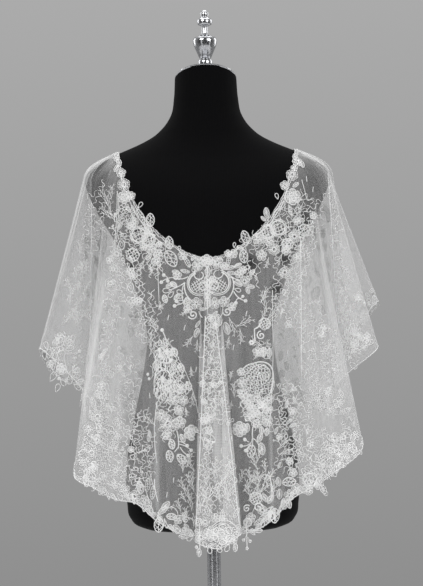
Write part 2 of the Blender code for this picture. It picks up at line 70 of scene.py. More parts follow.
def linear(hex_colour: str) -> tuple[float, float, float, float]:
    """Turn an sRGB hex colour into a linear one.

    Args:
        hex_colour: Six hexadecimal digits with a leading hash.

    Returns:
        Red, green, blue and a full alpha, each from 0 to 1.
    """
    parts = np.array([int(hex_colour[i:i + 2], 16) for i in (1, 3, 5)]) / 255
    low, high = parts / 12.92, ((parts + 0.055) / 1.055) ** 2.4
    return (*np.where(parts <= 0.04045, low, high).tolist(), 1.0)


def fill(node: bpy.types.Node, inputs: dict[Any, Any]) -> None:
    """Give a node's inputs constants, or links from output sockets.

    Args:
        node: The node.
        inputs: Constant or output socket for each input's name or number.
    """
    for key, value in inputs.items():
        if isinstance(value, Socket):
            node.id_data.links.new(value, node.inputs[key])
        else:
            node.inputs[key].default_value = value


def add_node(tree: bpy.types.NodeTree, kind: str, inputs: dict[Any, Any] | None = None,
             output: int | str = 0, **settings: Any) -> Socket:
    """Add a shader node, set its properties, and fill or link its inputs.

    Args:
        tree: Node tree that gets the node.
        kind: Type name of the node after "ShaderNode".
        inputs: Constant or output socket for each input's name or number.
        output: Name or number of the wanted output.
        settings: Properties of the node.

    Returns:
        The wanted output socket.
    """
    made = tree.nodes.new("ShaderNode" + kind)
    for name, value in settings.items():
        setattr(made, name, value)
    fill(made, inputs or {})
    return made.outputs[output]


def new_material(name: str) -> tuple[Material, bpy.types.NodeTree, bpy.types.Node]:
    """Start a material with a Principled shader.

    Args:
        name: Name of the finish.

    Returns:
        The material, its node tree and its shader node.
    """
    made = bpy.data.materials.new(name)
    made.use_nodes = True
    return made, made.node_tree, made.node_tree.nodes["Principled BSDF"]


def unit(vectors: Array) -> Array:
    """Scale vectors to length one along their last axis."""
    return vectors / np.maximum(np.linalg.norm(vectors, axis=-1, keepdims=True), 1e-12)


def full_turn(count: int) -> Array:
    """Even angles of a full turn."""
    return np.linspace(0, 2 * math.pi, count, endpoint=False)


def run_along(points: Array, axis: int = 0) -> Array:
    """Length of the way along an axis of a grid of points, up to each of them."""
    steps = np.linalg.norm(np.diff(points, axis=axis), axis=-1)
    return np.insert(np.cumsum(steps, axis=axis), 0, 0, axis=axis)


def make_piece(name: str, points: Array, faces: Array, finish: Material,
               uv: Array | None = None, crease_angle: float | None = None) -> Piece:
    """Make an object from whole arrays of points and of faces with equal numbers of corners.

    Args:
        name: Name of the piece.
        points: Points, n x 3.
        faces: Point numbers of each face, n x corners.
        finish: Material of the piece.
        uv: Pattern coordinates of each point, n x 2, or None.
        crease_angle: Angle in degrees past which an edge is shaded sharp, or None.

    Returns:
        The new object, at the origin.
    """
    mesh = bpy.data.meshes.new(name)
    mesh.vertices.add(len(points))
    mesh.vertices.foreach_set("co", np.ascontiguousarray(points, dtype=np.float32).ravel())
    corners = faces.shape[1]
    mesh.loops.add(faces.size)
    mesh.loops.foreach_set("vertex_index", np.ascontiguousarray(faces, dtype=np.int32).ravel())
    mesh.polygons.add(len(faces))
    mesh.polygons.foreach_set("loop_start", np.arange(len(faces), dtype=np.int32) * corners)
    mesh.update(calc_edges=True)
    if uv is not None:
        layer = mesh.uv_layers.new(name="Cloth")
        layer.data.foreach_set("uv", np.ascontiguousarray(uv[faces.ravel()], np.float32).ravel())
    mesh.validate()
    mesh.materials.append(finish)
    mesh.shade_smooth()
    if crease_angle is not None:
        mesh.set_sharp_from_angle(angle=math.radians(crease_angle))
    made = bpy.data.objects.new(name, mesh)
    bpy.context.scene.collection.objects.link(made)
    return made


def grid_faces(columns: int, rows: int, wrap: bool = False) -> Array:
    """Faces of a grid of points numbered row by row within each column.

    The faces look along the cross product of the row direction and the column direction.

    Args:
        columns: Number of columns.
        rows: Number of rows.
        wrap: Whether the last column joins the first.

    Returns:
        Point numbers, n x 4.
    """
    c = np.arange(columns if wrap else columns - 1)[:, None]
    r = np.arange(rows - 1)[None, :]
    a, b = c * rows + r, (c + 1) % columns * rows + r
    return np.stack([a, a + 1, b + 1, b], axis=-1).reshape(-1, 4)


def curve_through(knots: Array, values: Array, at: Array) -> Array:
    """Read a smooth curve through table rows.

    Between two rows the curve is a cubic, whose slope at each row is the mean of the chords beside
    it, weighted so that the nearer row counts more.

    Args:
        knots: Place of each row, rising.
        values: Rows, n x k.
        at: Places to read.

    Returns:
        The curve's values, one row for each place.
    """
    gaps = np.diff(knots)[:, None]
    chords = np.diff(values, axis=0) / gaps
    slopes = np.empty_like(values)
    slopes[1:-1] = (chords[:-1] * gaps[1:] + chords[1:] * gaps[:-1]) / (gaps[:-1] + gaps[1:])
    slopes[0], slopes[-1] = chords[0], chords[-1]
    cell = np.clip(np.searchsorted(knots, at, side="right") - 1, 0, len(gaps) - 1)
    gap = gaps[cell]
    f = (at - knots[cell])[:, None] / gap
    start = values[cell] * (1 + 2 * f) * (1 - f) ** 2 + slopes[cell] * gap * f * (1 - f) ** 2
    return start + values[cell + 1] * f * f * (3 - 2 * f) - slopes[cell + 1] * gap * f * f * (1 - f)


def ride(piece: Piece, slot: str, *nodes: str) -> None:
    """Let a piece ride on the body, and hide the CAD nodes that it stands for.

    Args:
        piece: Finished piece.
        slot: Name of its material slot, which is not used.
        nodes: CAD nodes that it stands for.
    """
    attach(piece, BODY)
    if nodes:
        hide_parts(*nodes)
    LOG.info("%s: %d faces", piece.name, len(piece.data.polygons))


# ---------------------------------------------------------------------------- the dress form

@dataclass
class DressForm:
    """Smooth limbless torso under black jersey, with a neck that is cut at a slant."""

    datum: float = 0.450
    neck_centre_y: float = 0.010
    neck_tilt: float = math.radians(21.0)
    tilt_start: float = 0.655
    columns: int = 144
    levels: int = 132

    # height over the datum, half width, back depth, front depth and centre y in mm, and power of
    # the outline
    SECTIONS = np.array([
        (8, 106, 84, 80, 0, 2.2), (13, 120, 96, 91, 0, 2.2), (25, 132, 106, 98, 0, 2.2),
        (48, 137, 110, 102, 0, 2.2), (106, 137, 110, 102, 0, 2.2), (190, 122, 97, 95, 0, 2.2),
        (265, 106, 82, 87, 0, 2.2), (320, 101, 78, 86, 0, 2.2), (363, 109, 85, 99, 0, 2.2),
        (408, 125, 96, 118, 0, 2.2), (448, 140, 104, 125, 0, 2.2), (480, 157, 105, 119, 0, 2.25),
        (515, 178, 101, 103, 0, 2.3), (545, 191, 92, 85, 0, 2.3), (566, 196, 81, 71, 0, 2.2),
        (583, 187, 70, 60, 0, 2.1), (598, 163, 61, 53, 1, 2), (609, 137, 56, 50, 2, 1.95),
        (620, 111, 53, 49, 4, 1.9), (632, 88, 51, 49, 6, 1.9), (647, 70.5, 50, 49, 8, 1.95),
        (667, 57, 49, 48.5, 10, 2), (694, 51.5, 48, 48, 10, 2), (724, 49.5, 48, 48, 10, 2),
    ]) / (1000, 1000, 1000, 1000, 1000, 1)

    @property
    def neck_top(self) -> float:
        """Height of the neck's cut over the datum."""
        return float(self.SECTIONS[-1, 0])

    def section(self, height: Array | float) -> Array:
        """Half width, back depth, front depth, centre y and power at each height."""
        return curve_through(self.SECTIONS[:, 0], self.SECTIONS[:, 1:], np.atleast_1d(height)).T

    def depth(self, x: Array, height: Array, side: int) -> Array:
        """Find y of the surface at x and height.

        The section is a superellipse: the shares of x and of y, each raised to the section's
        power, add up to one.

        Args:
            x: Places across.
            height: Heights over the datum.
            side: -1 for the back, 1 for the front.

        Returns:
            y at each place.
        """
        half_width, back, front, centre, power = self.section(height)
        inside = np.clip(1 - np.abs(x / half_width) ** power, 0, 1)
        return centre + side * (back if side < 0 else front) * inside ** (1 / power)

    def top(self, x: Array, y: Array, ceiling: Array, lift: float) -> Array:
        """Find the highest point of the grown torso over each plan point, under a ceiling.

        Args:
            x: Places across.
            y: Places in depth.
            ceiling: Highest level that counts at each place.
            lift: How far the torso is grown.

        Returns:
            Height over the datum, or -1 where the place is outside the torso.
        """
        levels = np.linspace(0.05, 0.64, 300)
        half_width, back, front, centre, power = self.section(levels)
        top = np.full(x.shape, -1.0)
        for index, level in enumerate(levels):
            away = y - centre[index]
            depth = np.where(away < 0, back[index], front[index]) + lift
            reach = np.abs(x / (half_width[index] + lift)) ** power[index]
            reach += np.abs(away / depth) ** power[index]
            top = np.where((reach <= 1.0) & (level <= ceiling), level + lift, top)
        return top

    def shoulder_height(self, x: float) -> float:
        """Height of the torso's ridge at x, between the shoulder tip and the neck."""
        levels = np.linspace(0.566, 0.66, 400)
        return float(np.interp(-x, -self.section(levels)[0], levels))

    def build(self, finish: Material) -> None:
        """Make the torso from rings that follow its sections.

        Each ring is a superellipse. Towards the neck's top the rings lean to the front until they
        lie in the slanted cut. The ends are closed with rings that shrink to a point.

        Args:
            finish: Jersey.
        """
        turn = full_turn(self.columns)[:, None]
        share = np.linspace(0, 1, self.levels)
        spread = share - 0.07 * np.sin(2 * math.pi * share)
        height = self.SECTIONS[0, 0] + spread * (self.neck_top - self.SECTIONS[0, 0])
        half_width, back, front, centre, power = [v[None, :] for v in self.section(height)]
        side, deep = np.cos(turn), np.sin(turn)
        x = np.sign(side) * np.abs(side) ** (2 / power) * half_width
        y = centre + np.sign(deep) * np.abs(deep) ** (2 / power) * np.where(deep < 0, back, front)
        lean = np.clip((height - self.tilt_start) / (self.neck_top - self.tilt_start), 0, 1)[None]
        z = height[None, :] - lean * math.tan(self.neck_tilt) * (y - self.neck_centre_y)
        rings = np.stack([x, y, z + self.datum], axis=-1)
        close = np.array([0.0, 0.5, 0.97])[None, :, None]
        foot, head = [r.mean(axis=0) for r in (rings[:, 0], rings[:, -1])]
        below = foot + (rings[:, :1] - foot) * close
        above = head + (rings[:, -1:] - head) * close[:, ::-1]
        below[:, 1:, 2] = foot[2]
        grid = np.concatenate([below[:, :-1], rings, above[:, 1:]], axis=1)
        grid[:, 0], grid[:, -1] = foot, head
        faces = grid_faces(self.columns, grid.shape[1], wrap=True)[:, ::-1]
        body = make_piece("jersey_torso", grid.reshape(-1, 3), faces, finish, crease_angle=35)
        merge_doubles(body)
        ride(body, "black_jersey", "torso")


def merge_doubles(piece: Piece) -> None:
    """Merge points that coincide, and let all faces look outwards.

    Args:
        piece: Piece with a closed surface.
    """
    mesh = bmesh.new()
    mesh.from_mesh(piece.data)
    bmesh.ops.remove_doubles(mesh, verts=mesh.verts, dist=0.00001)
    bmesh.ops.recalc_face_normals(mesh, faces=mesh.faces)
    mesh.to_mesh(piece.data)
    mesh.free()


# ---------------------------------------------------------------------------- the chrome

@dataclass
class ChromeFittings:
    """Turned metal of the stand: neck cap, finial, flange, pole, hub and base plate."""

    form: DressForm
    seam: float = 0.3 * MM
    base_radius: float = 0.150
    base_height: float = 0.014
    pole_radius: float = 0.011
    flange_radius: float = 0.040
    flange_height: float = 0.006
    hub_height: float = 0.030
    sides: int = 96

    def turned(self, node: str, profile: Sequence[tuple[float, float]],
               finish: Material, centre_y: float = 0.0, tilt_rows: int = 0,
               smooth: bool = True) -> None:
        """Turn a profile round the vertical through centre_y.

        A smooth curve through the profile's rows, read by its length, is turned through a full
        circle. The ends close in a point.

        Args:
            node: CAD node that the piece stands for.
            profile: Rows of radius and height, going upwards.
            finish: Metal.
            centre_y: y of the axis.
            tilt_rows: Number of first rows that lie in the slant of the neck's cut.
            smooth: Whether the profile is curved between its rows.
        """
        rows = np.array([(*row, 1.0 if i < tilt_rows else 0.0) for i, row in enumerate(profile)])
        if smooth:
            run = run_along(rows[:, :2])
            fine = np.unique(np.concatenate([run, np.linspace(0, run[-1], 6 * len(rows))]))
            rows = curve_through(run, rows, fine)
        ends = [(1e-6, rows[0, 1], rows[0, 2]), (1e-6, rows[-1, 1], rows[-1, 2])]
        rows = np.vstack([ends[0], rows, ends[1]])
        turn = full_turn(self.sides)[:, None]
        radius, height, tilt = rows.T[:, None, :]
        x, y = radius * np.cos(turn), radius * np.sin(turn)
        z = height - tilt * math.tan(self.form.neck_tilt) * y
        grid = np.stack([x, y + centre_y, z], axis=-1)
        faces = grid_faces(self.sides, len(rows), wrap=True)[:, ::-1]
        made = make_piece("chrome_" + node, grid.reshape(-1, 3), faces, finish, crease_angle=38)
        merge_doubles(made)
        ride(made, "chrome", node)

    def build(self, finish: Material) -> None:
        """Turn every fitting."""
        self.build_finial(finish)
        self.build_stand(finish)

    def build_finial(self, finish: Material) -> None:
        """Turn the cap on the neck and the three pieces of the finial.

        Args:
            finish: Metal.
        """
        axis = self.form.neck_centre_y
        datum = self.form.datum
        neck_top = datum + self.form.neck_top
        cap = [(0.0485, 0.0), (0.0495, 0.0012), (0.0490, 0.0024), (0.036, 0.0040), (0.020, 0.0048)]
        rows = [(radius, neck_top + self.seam + height) for radius, height in cap]
        self.turned("neck_cap", rows, finish, axis, tilt_rows=len(rows), smooth=False)
        foot = rows[-1][1] + self.seam
        ring_top = datum + 0.7580
        base = [(0.0092, foot), (0.0092, foot + 0.012), (0.0108, ring_top - 0.0085),
                (0.0112, ring_top - 0.0050), (0.0104, ring_top - 0.0012), (0.0090, ring_top)]
        self.turned("finial_base", base, finish, axis, tilt_rows=1, smooth=False)
        urn_foot = ring_top + self.seam
        urn = [(0.0086, 0.0), (0.0100, 0.0020), (0.0122, 0.0070), (0.0152, 0.0138),
               (0.0178, 0.0205), (0.0192, 0.0262), (0.0193, 0.0298), (0.0176, 0.0332),
               (0.0140, 0.0352)]
        self.turned("finial_urn", [(r, urn_foot + h) for r, h in urn], finish, axis)
        top_foot = urn_foot + urn[-1][1] + self.seam
        top = [(0.0092, 0.0), (0.0096, 0.0012), (0.0062, 0.0030), (0.0050, 0.0100),
               (0.0058, 0.0165), (0.0106, 0.0188), (0.0120, 0.0225), (0.0116, 0.0265),
               (0.0080, 0.0298), (0.0060, 0.0315), (0.0066, 0.0350), (0.0058, 0.0392),
               (0.0028, 0.0418)]
        self.turned("finial_top", [(r, top_foot + h) for r, h in top], finish, axis)

    def build_stand(self, finish: Material) -> None:
        """Turn the base plate, the hub, the pole and the flange under the torso.

        Args:
            finish: Metal.
        """
        edge = 0.004
        base = [(self.base_radius - 0.002, 0.0), (self.base_radius, 0.002),
                (self.base_radius, self.base_height - edge),
                (self.base_radius - edge, self.base_height - 0.001),
                (self.base_radius * 0.6, self.base_height + 0.003),
                (0.040, self.base_height + 0.005)]
        self.turned("base_plate", base, finish, smooth=False)
        hub_foot = base[-1][1] + self.seam
        hub = [(0.027, hub_foot), (0.027, hub_foot + 0.004), (0.020, hub_foot + 0.009),
               (0.0165, hub_foot + self.hub_height - 0.003), (0.0150, hub_foot + self.hub_height)]
        self.turned("pole_hub", hub, finish, smooth=False)
        pole_foot = hub_foot + self.hub_height + self.seam
        torso_foot = self.form.datum + self.form.SECTIONS[0, 0]
        flange_foot = torso_foot - self.seam - self.flange_height
        pole = [(self.pole_radius, pole_foot), (self.pole_radius, flange_foot - self.seam)]
        self.turned("pole", pole, finish, smooth=False)
        flange = [(0.022, flange_foot), (self.flange_radius - 0.002, flange_foot + 0.002),
                  (self.flange_radius, flange_foot + 0.0035),
                  (self.flange_radius, flange_foot + self.flange_height)]
        self.turned("torso_flange", flange, finish, smooth=False)


# ---------------------------------------------------------------------------- the cloth's form

class Panel(Enum):
    """Cut pieces of tulle, with their first and last rib; a half is midway to the next rib."""

    BACK_GORE = ("back_gore", -1.5, 1.5)
    BACK_LEFT = ("back_panel_left", 1.5, 8.5)
    WING_LEFT = ("wing_left", 8.5, 13.0)
    FRONT_LEFT = ("front_panel_left", 13.0, 17.0)
    FRONT_RIGHT = ("front_panel_right", 17.0, 21.0)
    WING_RIGHT = ("wing_right", 21.0, 26.5)
    BACK_RIGHT = ("back_panel_right", 26.5, 33.5)

    def __init__(self, node: str, first_rib: float, last_rib: float) -> None:
        """Keep the CAD node's name and the two ribs."""
        self.node, self.first_rib, self.last_rib = node, first_rib, last_rib


@dataclass
class ShawlCloth:
    """Form of the worn cloth: strings drawn tight over the torso from the neckline to the hem.

    The grid's columns go round from the back centre by -X, and its rows go down from the neckline.
    """

    form: DressForm
    cloth_lift: float = 2.6 * MM
    edge_lift: float = 1.2 * MM
    half_width: float = 0.139
    back_drop: float = 0.173
    front_drop: float = 0.075
    neck_power: float = 1.7
    torso_middle: float = 0.42
    seam_step: float = 0.025        # spacing along the hem of the columns that seams can lie on
    split: int = 6                  # fine columns between two of those
    rows: int = 76
    crowding: float = 1.2           # over 1 puts more rows near the neckline
    stations: int = 56
    passes: int = 3600
    grid: Array = field(init=False)
    normals: Array = field(init=False)
    length: Array = field(init=False)
    arc: Array = field(init=False)
    rib_column: Array = field(init=False)
    neck_value: Array = field(init=False)

    # neck value in thousandths (0 back centre, 1 shoulder at -X, 2 front centre, 3 shoulder at +X),
    # and the hem's x, y and height over the datum in mm
    RIBS = np.array([
        # middle of the centre gore, outer edge of its pleat, its inner tuck
        (0, 7, -168, -8), (35, -28, -159, 3), (70, 0, -138, 10),
        # back panel, with soft ridges at its second and fourth ribs, and its side corner
        (115, -44, -129, 9), (290, -85, -143, 32), (440, -118, -121, 58), (580, -150, -133, 66),
        (700, -183, -108, 82), (800, -214, -113, 101),
        # fold behind it, outer corner of the wing, and the wing's front part
        (870, -180, -70, 195), (950, -270, -30, 298), (1030, -255, 22, 257),
        (1130, -202, 48, 225), (1260, -213, 98, 203), (1420, -152, 101, 195),
        # front, with a ridge on each side of its centre
        (1590, -103, 146, 172), (1790, -53, 128, 156), (2000, 0, 152, 143), (2210, 52, 128, 154),
        (2410, 101, 146, 168), (2580, 152, 101, 193),
        # wing with its upper and its middle corner, and the fold behind the back panel
        (2740, 208, 101, 178), (2870, 209, 58, 250), (2970, 272, 24, 363), (3025, 222, -3, 300),
        (3080, 266, -34, 293), (3140, 192, -60, 222),
        # side corner of the back panel, and the panel with two soft ridges
        (3205, 234, -106, 139), (3265, 188, -110, 99), (3340, 156, -132, 81),
        (3500, 121, -120, 60), (3680, 90, -144, 31), (3885, 58, -129, 12),
        # inner tuck of the gore's pleat and its outer edge
        (3930, 15, -138, 10), (3965, 43, -159, 15),
    ]) / 1000

    # Creases: first rib, last rib, share of the length from the neckline at which each starts and
    # ends, half width and height over the cloth in mm; a negative height is a trough.
    CREASES = np.array([
        (4.6, 4.45, 0.1, 0.55, 3.2, 2.6), (5.05, 5, 0.52, 0.98, 3.4, 3.2),
        (6.45, 6.6, 0.3, 0.75, 5, -2.4), (7.2, 7.45, 0.15, 0.92, 7, 2.6),
        (7.8, 7.95, 0.35, 0.7, 4.5, -2.2), (9.55, 9.4, 0.06, 0.3, 3.2, 3.4),
        (9.7, 9.85, 0.25, 0.85, 5, 2.8), (10.6, 10.45, 0.2, 0.9, 6, -2.6),
        (11.5, 11.7, 0.12, 0.66, 5.5, 2.6), (12.4, 12.3, 0.3, 0.94, 7, -3),
        (13.6, 13.45, 0.18, 0.8, 5, 2.4), (14.5, 14.75, 0.4, 0.96, 7.5, -3),
        (15.55, 15.35, 0.1, 0.58, 4.5, 2.2), (16.45, 16.6, 0.46, 0.98, 6, 2.8),
        (17.55, 17.4, 0.22, 0.78, 6.5, -2.4), (18.45, 18.6, 0.36, 0.97, 4.8, 2.6),
        (19.6, 19.4, 0.12, 0.62, 6, -2.6), (20.5, 20.35, 0.34, 0.92, 5.2, 2.8),
        (21.55, 21.7, 0.2, 0.86, 6.2, -2.6), (22.6, 22.45, 0.14, 0.6, 4.6, 2.6),
        (24.3, 24.2, 0.1, 0.5, 4, 2.8), (25.6, 25.75, 0.3, 0.9, 5.6, -2.4),
        (27.6, 27.45, 0.24, 0.8, 5.2, -2.2), (28.45, 28.3, 0.14, 0.94, 3.4, 3.2),
        (29.7, 29.85, 0.2, 0.97, 3.2, 3), (30.55, 30.4, 0.42, 0.8, 6, -1.8),
        (31.6, 31.45, 0.5, 0.9, 7, 1.6),
    ])

    def __post_init__(self) -> None:
        """Work out the grid, its creases, its normals and its lengths."""
        knots, steps = self.rib_knots()
        coarse = np.append(np.concatenate([
            np.linspace(*knots[i:i + 2], s, endpoint=False) for i, s in enumerate(steps)]), knots[-1])
        inside = np.arange(self.split) / self.split
        at = (coarse[:-1, None] + np.diff(coarse)[:, None] * inside).ravel()
        self.rib_column = np.concatenate([[0], np.cumsum(steps)]) * self.split
        self.neck_value, hem = self.rib_ends(knots, at)
        strings = self.taut_strings(self.neck_points(self.neck_value), hem)
        run = run_along(strings, axis=1)
        share = np.linspace(0, 1, self.rows) ** self.crowding
        self.grid = self.read_rows(strings, run, share[None, :] * run[:, -1:])
        self.grid[:, :, 2] += self.form.datum
        self.measure()
        self.crease()
        self.measure()

    def rib_knots(self) -> tuple[Array, Array]:
        """Knots of the ribs, and the number of seam columns between two ribs.

        A knot is the sum of the square roots of the hem's chords before the rib.

        Returns:
            Knots, one more than ribs, and the numbers of columns.
        """
        around = np.vstack([self.RIBS[:, 1:], self.RIBS[:1, 1:]])
        chords = np.linalg.norm(np.diff(around, axis=0), axis=1)
        steps = np.maximum(2, np.ceil(chords / self.seam_step)).astype(int)
        return np.concatenate([[0], np.cumsum(np.sqrt(chords))]), steps

    def rib_ends(self, knots: Array, at: Array) -> tuple[Array, Array]:
        """Read the neck value and the hem point at each knot from a closed smooth curve.

        Args:
            knots: Knots of the ribs.
            at: Knots to read.

        Returns:
            Neck values, and hem points over the datum.
        """
        wrap = 3
        rows = np.vstack([self.RIBS[-wrap:], self.RIBS, self.RIBS[:wrap + 1]])
        rows[:wrap, 0] -= 4.0
        rows[-wrap - 1:, 0] += 4.0
        turn = knots[-1]
        long = np.concatenate([knots[-wrap - 1:-1] - turn, knots[:-1], knots[:wrap + 1] + turn])
        ends = curve_through(long, rows, at)
        return ends[:, 0], ends[:, 1:]

    def neckline(self) -> Array:
        """Points of the neckline at even steps of the neck value from 0 to 4.

        Each quarter is a superellipse seen from the front, laid on the torso and spaced evenly.

        Returns:
            Points over the datum, n x 3.
        """
        top = self.form.shoulder_height(self.half_width)
        quarters = []
        for side, drop in ((-1, self.back_drop), (1, self.front_drop)):
            angle = np.linspace(0, math.pi / 2, 400)
            across = self.half_width * np.sin(angle) ** (2 / self.neck_power)
            height = top - drop * np.cos(angle) ** (2 / self.neck_power)
            deep = self.form.depth(across, height, side)
            deep[-1] = self.form.section(top)[3][0]
            points = np.stack([-across, deep, height], axis=1)
            run = run_along(points)
            even = np.linspace(0, run[-1], 241)
            quarters.append(np.stack([np.interp(even, run, points[:, k]) for k in range(3)], 1))
        back, front = quarters
        mirror = np.array([-1, 1, 1])
        return np.concatenate([back[:-1], front[::-1][:-1], (front * mirror)[:-1],
                               (back * mirror)[::-1]])

    def neck_points(self, neck_value: Array) -> Array:
        """Neckline points at each neck value, moved out from the torso by the edge's lift.

        Args:
            neck_value: Neck value of each point.

        Returns:
            Points over the datum, n x 3.
        """
        loop = self.neckline()
        values = np.linspace(0, 4, len(loop))

        def read(at: Array) -> Array:
            """Neckline at each value, past 4 as past 0."""
            return np.stack([np.interp(np.mod(at, 4.0), values, axis) for axis in loop.T], axis=1)

        points = read(neck_value)
        along = unit(read(neck_value + 0.01) - points)
        out = points - np.array([0.0, 0.0, self.torso_middle])
        out -= along * np.sum(out * along, axis=1)[:, None]
        return points + unit(out) * self.edge_lift

    def taut_strings(self, start: Array, end: Array) -> Array:
        """Pull strings tight from start to end over the torso.

        Every inner point goes again and again to the mean height of its two neighbours, or to the
        torso's top where that is higher.

        Args:
            start: Upper ends.
            end: Lower ends.

        Returns:
            Points, strings x stations x 3.
        """
        share = np.linspace(0, 1, self.stations)[None, :]
        x, y, line = [start[:, k:k + 1] + (end[:, k:k + 1] - start[:, k:k + 1]) * share
                      for k in range(3)]
        floor = self.form.top(x, y, start[:, 2:3], self.cloth_lift)
        floor[:, 0], floor[:, -1] = start[:, 2], end[:, 2]
        z = np.maximum(floor, line)
        for _ in range(self.passes):
            z[:, 1:-1] = np.maximum(floor[:, 1:-1], (z[:, :-2] + z[:, 2:]) / 2)
        return np.stack([x, y, z], axis=2)

    @staticmethod
    def read_rows(strings: Array, run: Array, wanted: Array) -> Array:
        """Read every string at wanted lengths, on straight lines between its stations.

        Args:
            strings: Points, strings x stations x 3.
            run: Length of each string up to its stations.
            wanted: Lengths to read, strings x rows.

        Returns:
            Points, strings x rows x 3.
        """
        offset = np.arange(len(run))[:, None] * (run.max() + 1.0)
        flat = np.interp((wanted + offset).ravel(), (run + offset).ravel(),
                         np.arange(run.size, dtype=float))
        low = np.minimum(flat.astype(int), run.size - 2)
        blend = (flat - low)[:, None]
        points = strings.reshape(-1, 3)
        read = points[low] * (1 - blend) + points[low + 1] * blend
        return read.reshape(*wanted.shape, 3)

    def measure(self) -> None:
        """Work out the normals, the length down each column and the length along each row.

        A normal is square to the column and to the bisector of the steps to both neighbours.
        """
        down = unit(np.gradient(self.grid, axis=1))
        around = np.zeros_like(self.grid)
        for shift, sign in ((-1, 1.0), (1, -1.0)):
            step = np.roll(self.grid, shift, axis=0) - self.grid
            step -= down * np.sum(step * down, axis=2, keepdims=True)
            around += sign * unit(step)
        self.normals = unit(np.cross(around, down))
        self.length = run_along(self.grid, axis=1)
        self.arc = run_along(np.concatenate([self.grid, self.grid[:1]]))

    def crease(self) -> None:
        """Raise the ridges and sink the troughs of the creases' table.

        A crease moves the cloth along its normal by a bell curve of the distance across it, times a
        half sine wave along it.
        """
        rows = np.linspace(0, 1, self.rows)[None, :]
        for first, last, start, end, half_width, height in self.CREASES:
            ahead = np.clip((rows - start) / (end - start), 0, 1)
            place = np.interp(first + (last - first) * ahead, np.arange(len(self.rib_column)),
                              self.rib_column)
            row = np.arange(self.rows)[None, :]
            low = place.astype(int)
            blend = place - low
            middle = self.arc[low, row] * (1 - blend) + self.arc[low + 1, row] * blend
            across = (self.arc[:-1] - middle) / (half_width * MM)
            bell = np.exp(-across ** 2) * np.sin(math.pi * ahead) ** 0.7
            self.grid += self.normals * (bell * height * MM)[:, :, None]

    def column_at(self, column: Array, row: Array, x: Array) -> Array:
        """Find the column that lies x to the right of another along a row.

        Right is as seen from outside, which is against the columns' order. The length along the
        row up to the column, less x, is looked up again in the row's lengths.

        Args:
            column: Columns to start from.
            row: Row number of each.
            x: Length to the right.

        Returns:
            The columns.
        """
        turns = self.arc[-1, row]
        low = np.floor(column).astype(int) % len(self.grid)
        blend = column - np.floor(column)
        here = self.arc[low, row] * (1 - blend) + self.arc[low + 1, row] * blend
        wanted = np.mod(here - x, turns)
        step = self.arc.max() + 1.0
        keys = (self.arc + np.arange(self.rows)[None, :] * step).T.ravel()
        flat = np.interp(wanted + row * step, keys, np.arange(keys.size, dtype=float))
        return flat - row * len(self.arc)

    def read(self, column: Array, distance: Array, x: Array, y: Array) -> tuple[Array, Array]:
        """Find points and outward normals of the cloth beside anchors.

        An anchor is a column and a distance down it from the neckline. Past the neckline and the
        hem the cloth goes straight on.

        Args:
            column: Columns of the anchors.
            distance: Distances of the anchors.
            x: Offsets to the right, seen from outside.
            y: Offsets upwards along the column.

        Returns:
            Points and normals, n x 3 each.
        """
        total = len(self.grid)
        down = distance - y
        near = np.round(column).astype(int) % total
        share = np.clip(down / self.length[near, -1], 0, 1) ** (1 / self.crowding)
        row = np.clip(share * (self.rows - 1), 0, self.rows - 1.001)
        low_row = row.astype(int)
        blend = row - low_row
        here, below = [self.column_at(column, low_row + k, x) for k in (0, 1)]
        place = np.where(np.abs(here - below) > total / 2, here, here * (1 - blend) + below * blend)
        low = np.floor(place).astype(int) % total
        f = (place - np.floor(place))[:, None]
        after = (low + 1) % total
        length = self.length[low] * (1 - f) + self.length[after] * f
        r = np.clip((length <= down[:, None]).sum(axis=1) - 1, 0, self.rows - 2)
        pick = np.arange(len(r))
        g = ((down - length[pick, r]) / (length[pick, r + 1] - length[pick, r]))[:, None]
        upper = self.grid[low, r] * (1 - f) + self.grid[after, r] * f
        lower = self.grid[low, r + 1] * (1 - f) + self.grid[after, r + 1] * f
        normal = self.normals[low, r] * (1 - f) + self.normals[after, r] * f
        return upper * (1 - g) + lower * g, unit(normal)

    def column_of(self, rib: float) -> float:
        """Column of a rib number, which may be fractional or under nought.

        Args:
            rib: Rib number, counted round the cloth.

        Returns:
            Column, which need not be whole.
        """
        turns, within = divmod(rib, len(self.RIBS))
        place = np.interp(within, np.arange(len(self.rib_column)), self.rib_column)
        return float(turns * len(self.grid) + place)

    def seam_column(self, rib: float) -> int:
        """Seam column nearest to a rib."""
        return round(self.column_of(rib) / self.split) * self.split


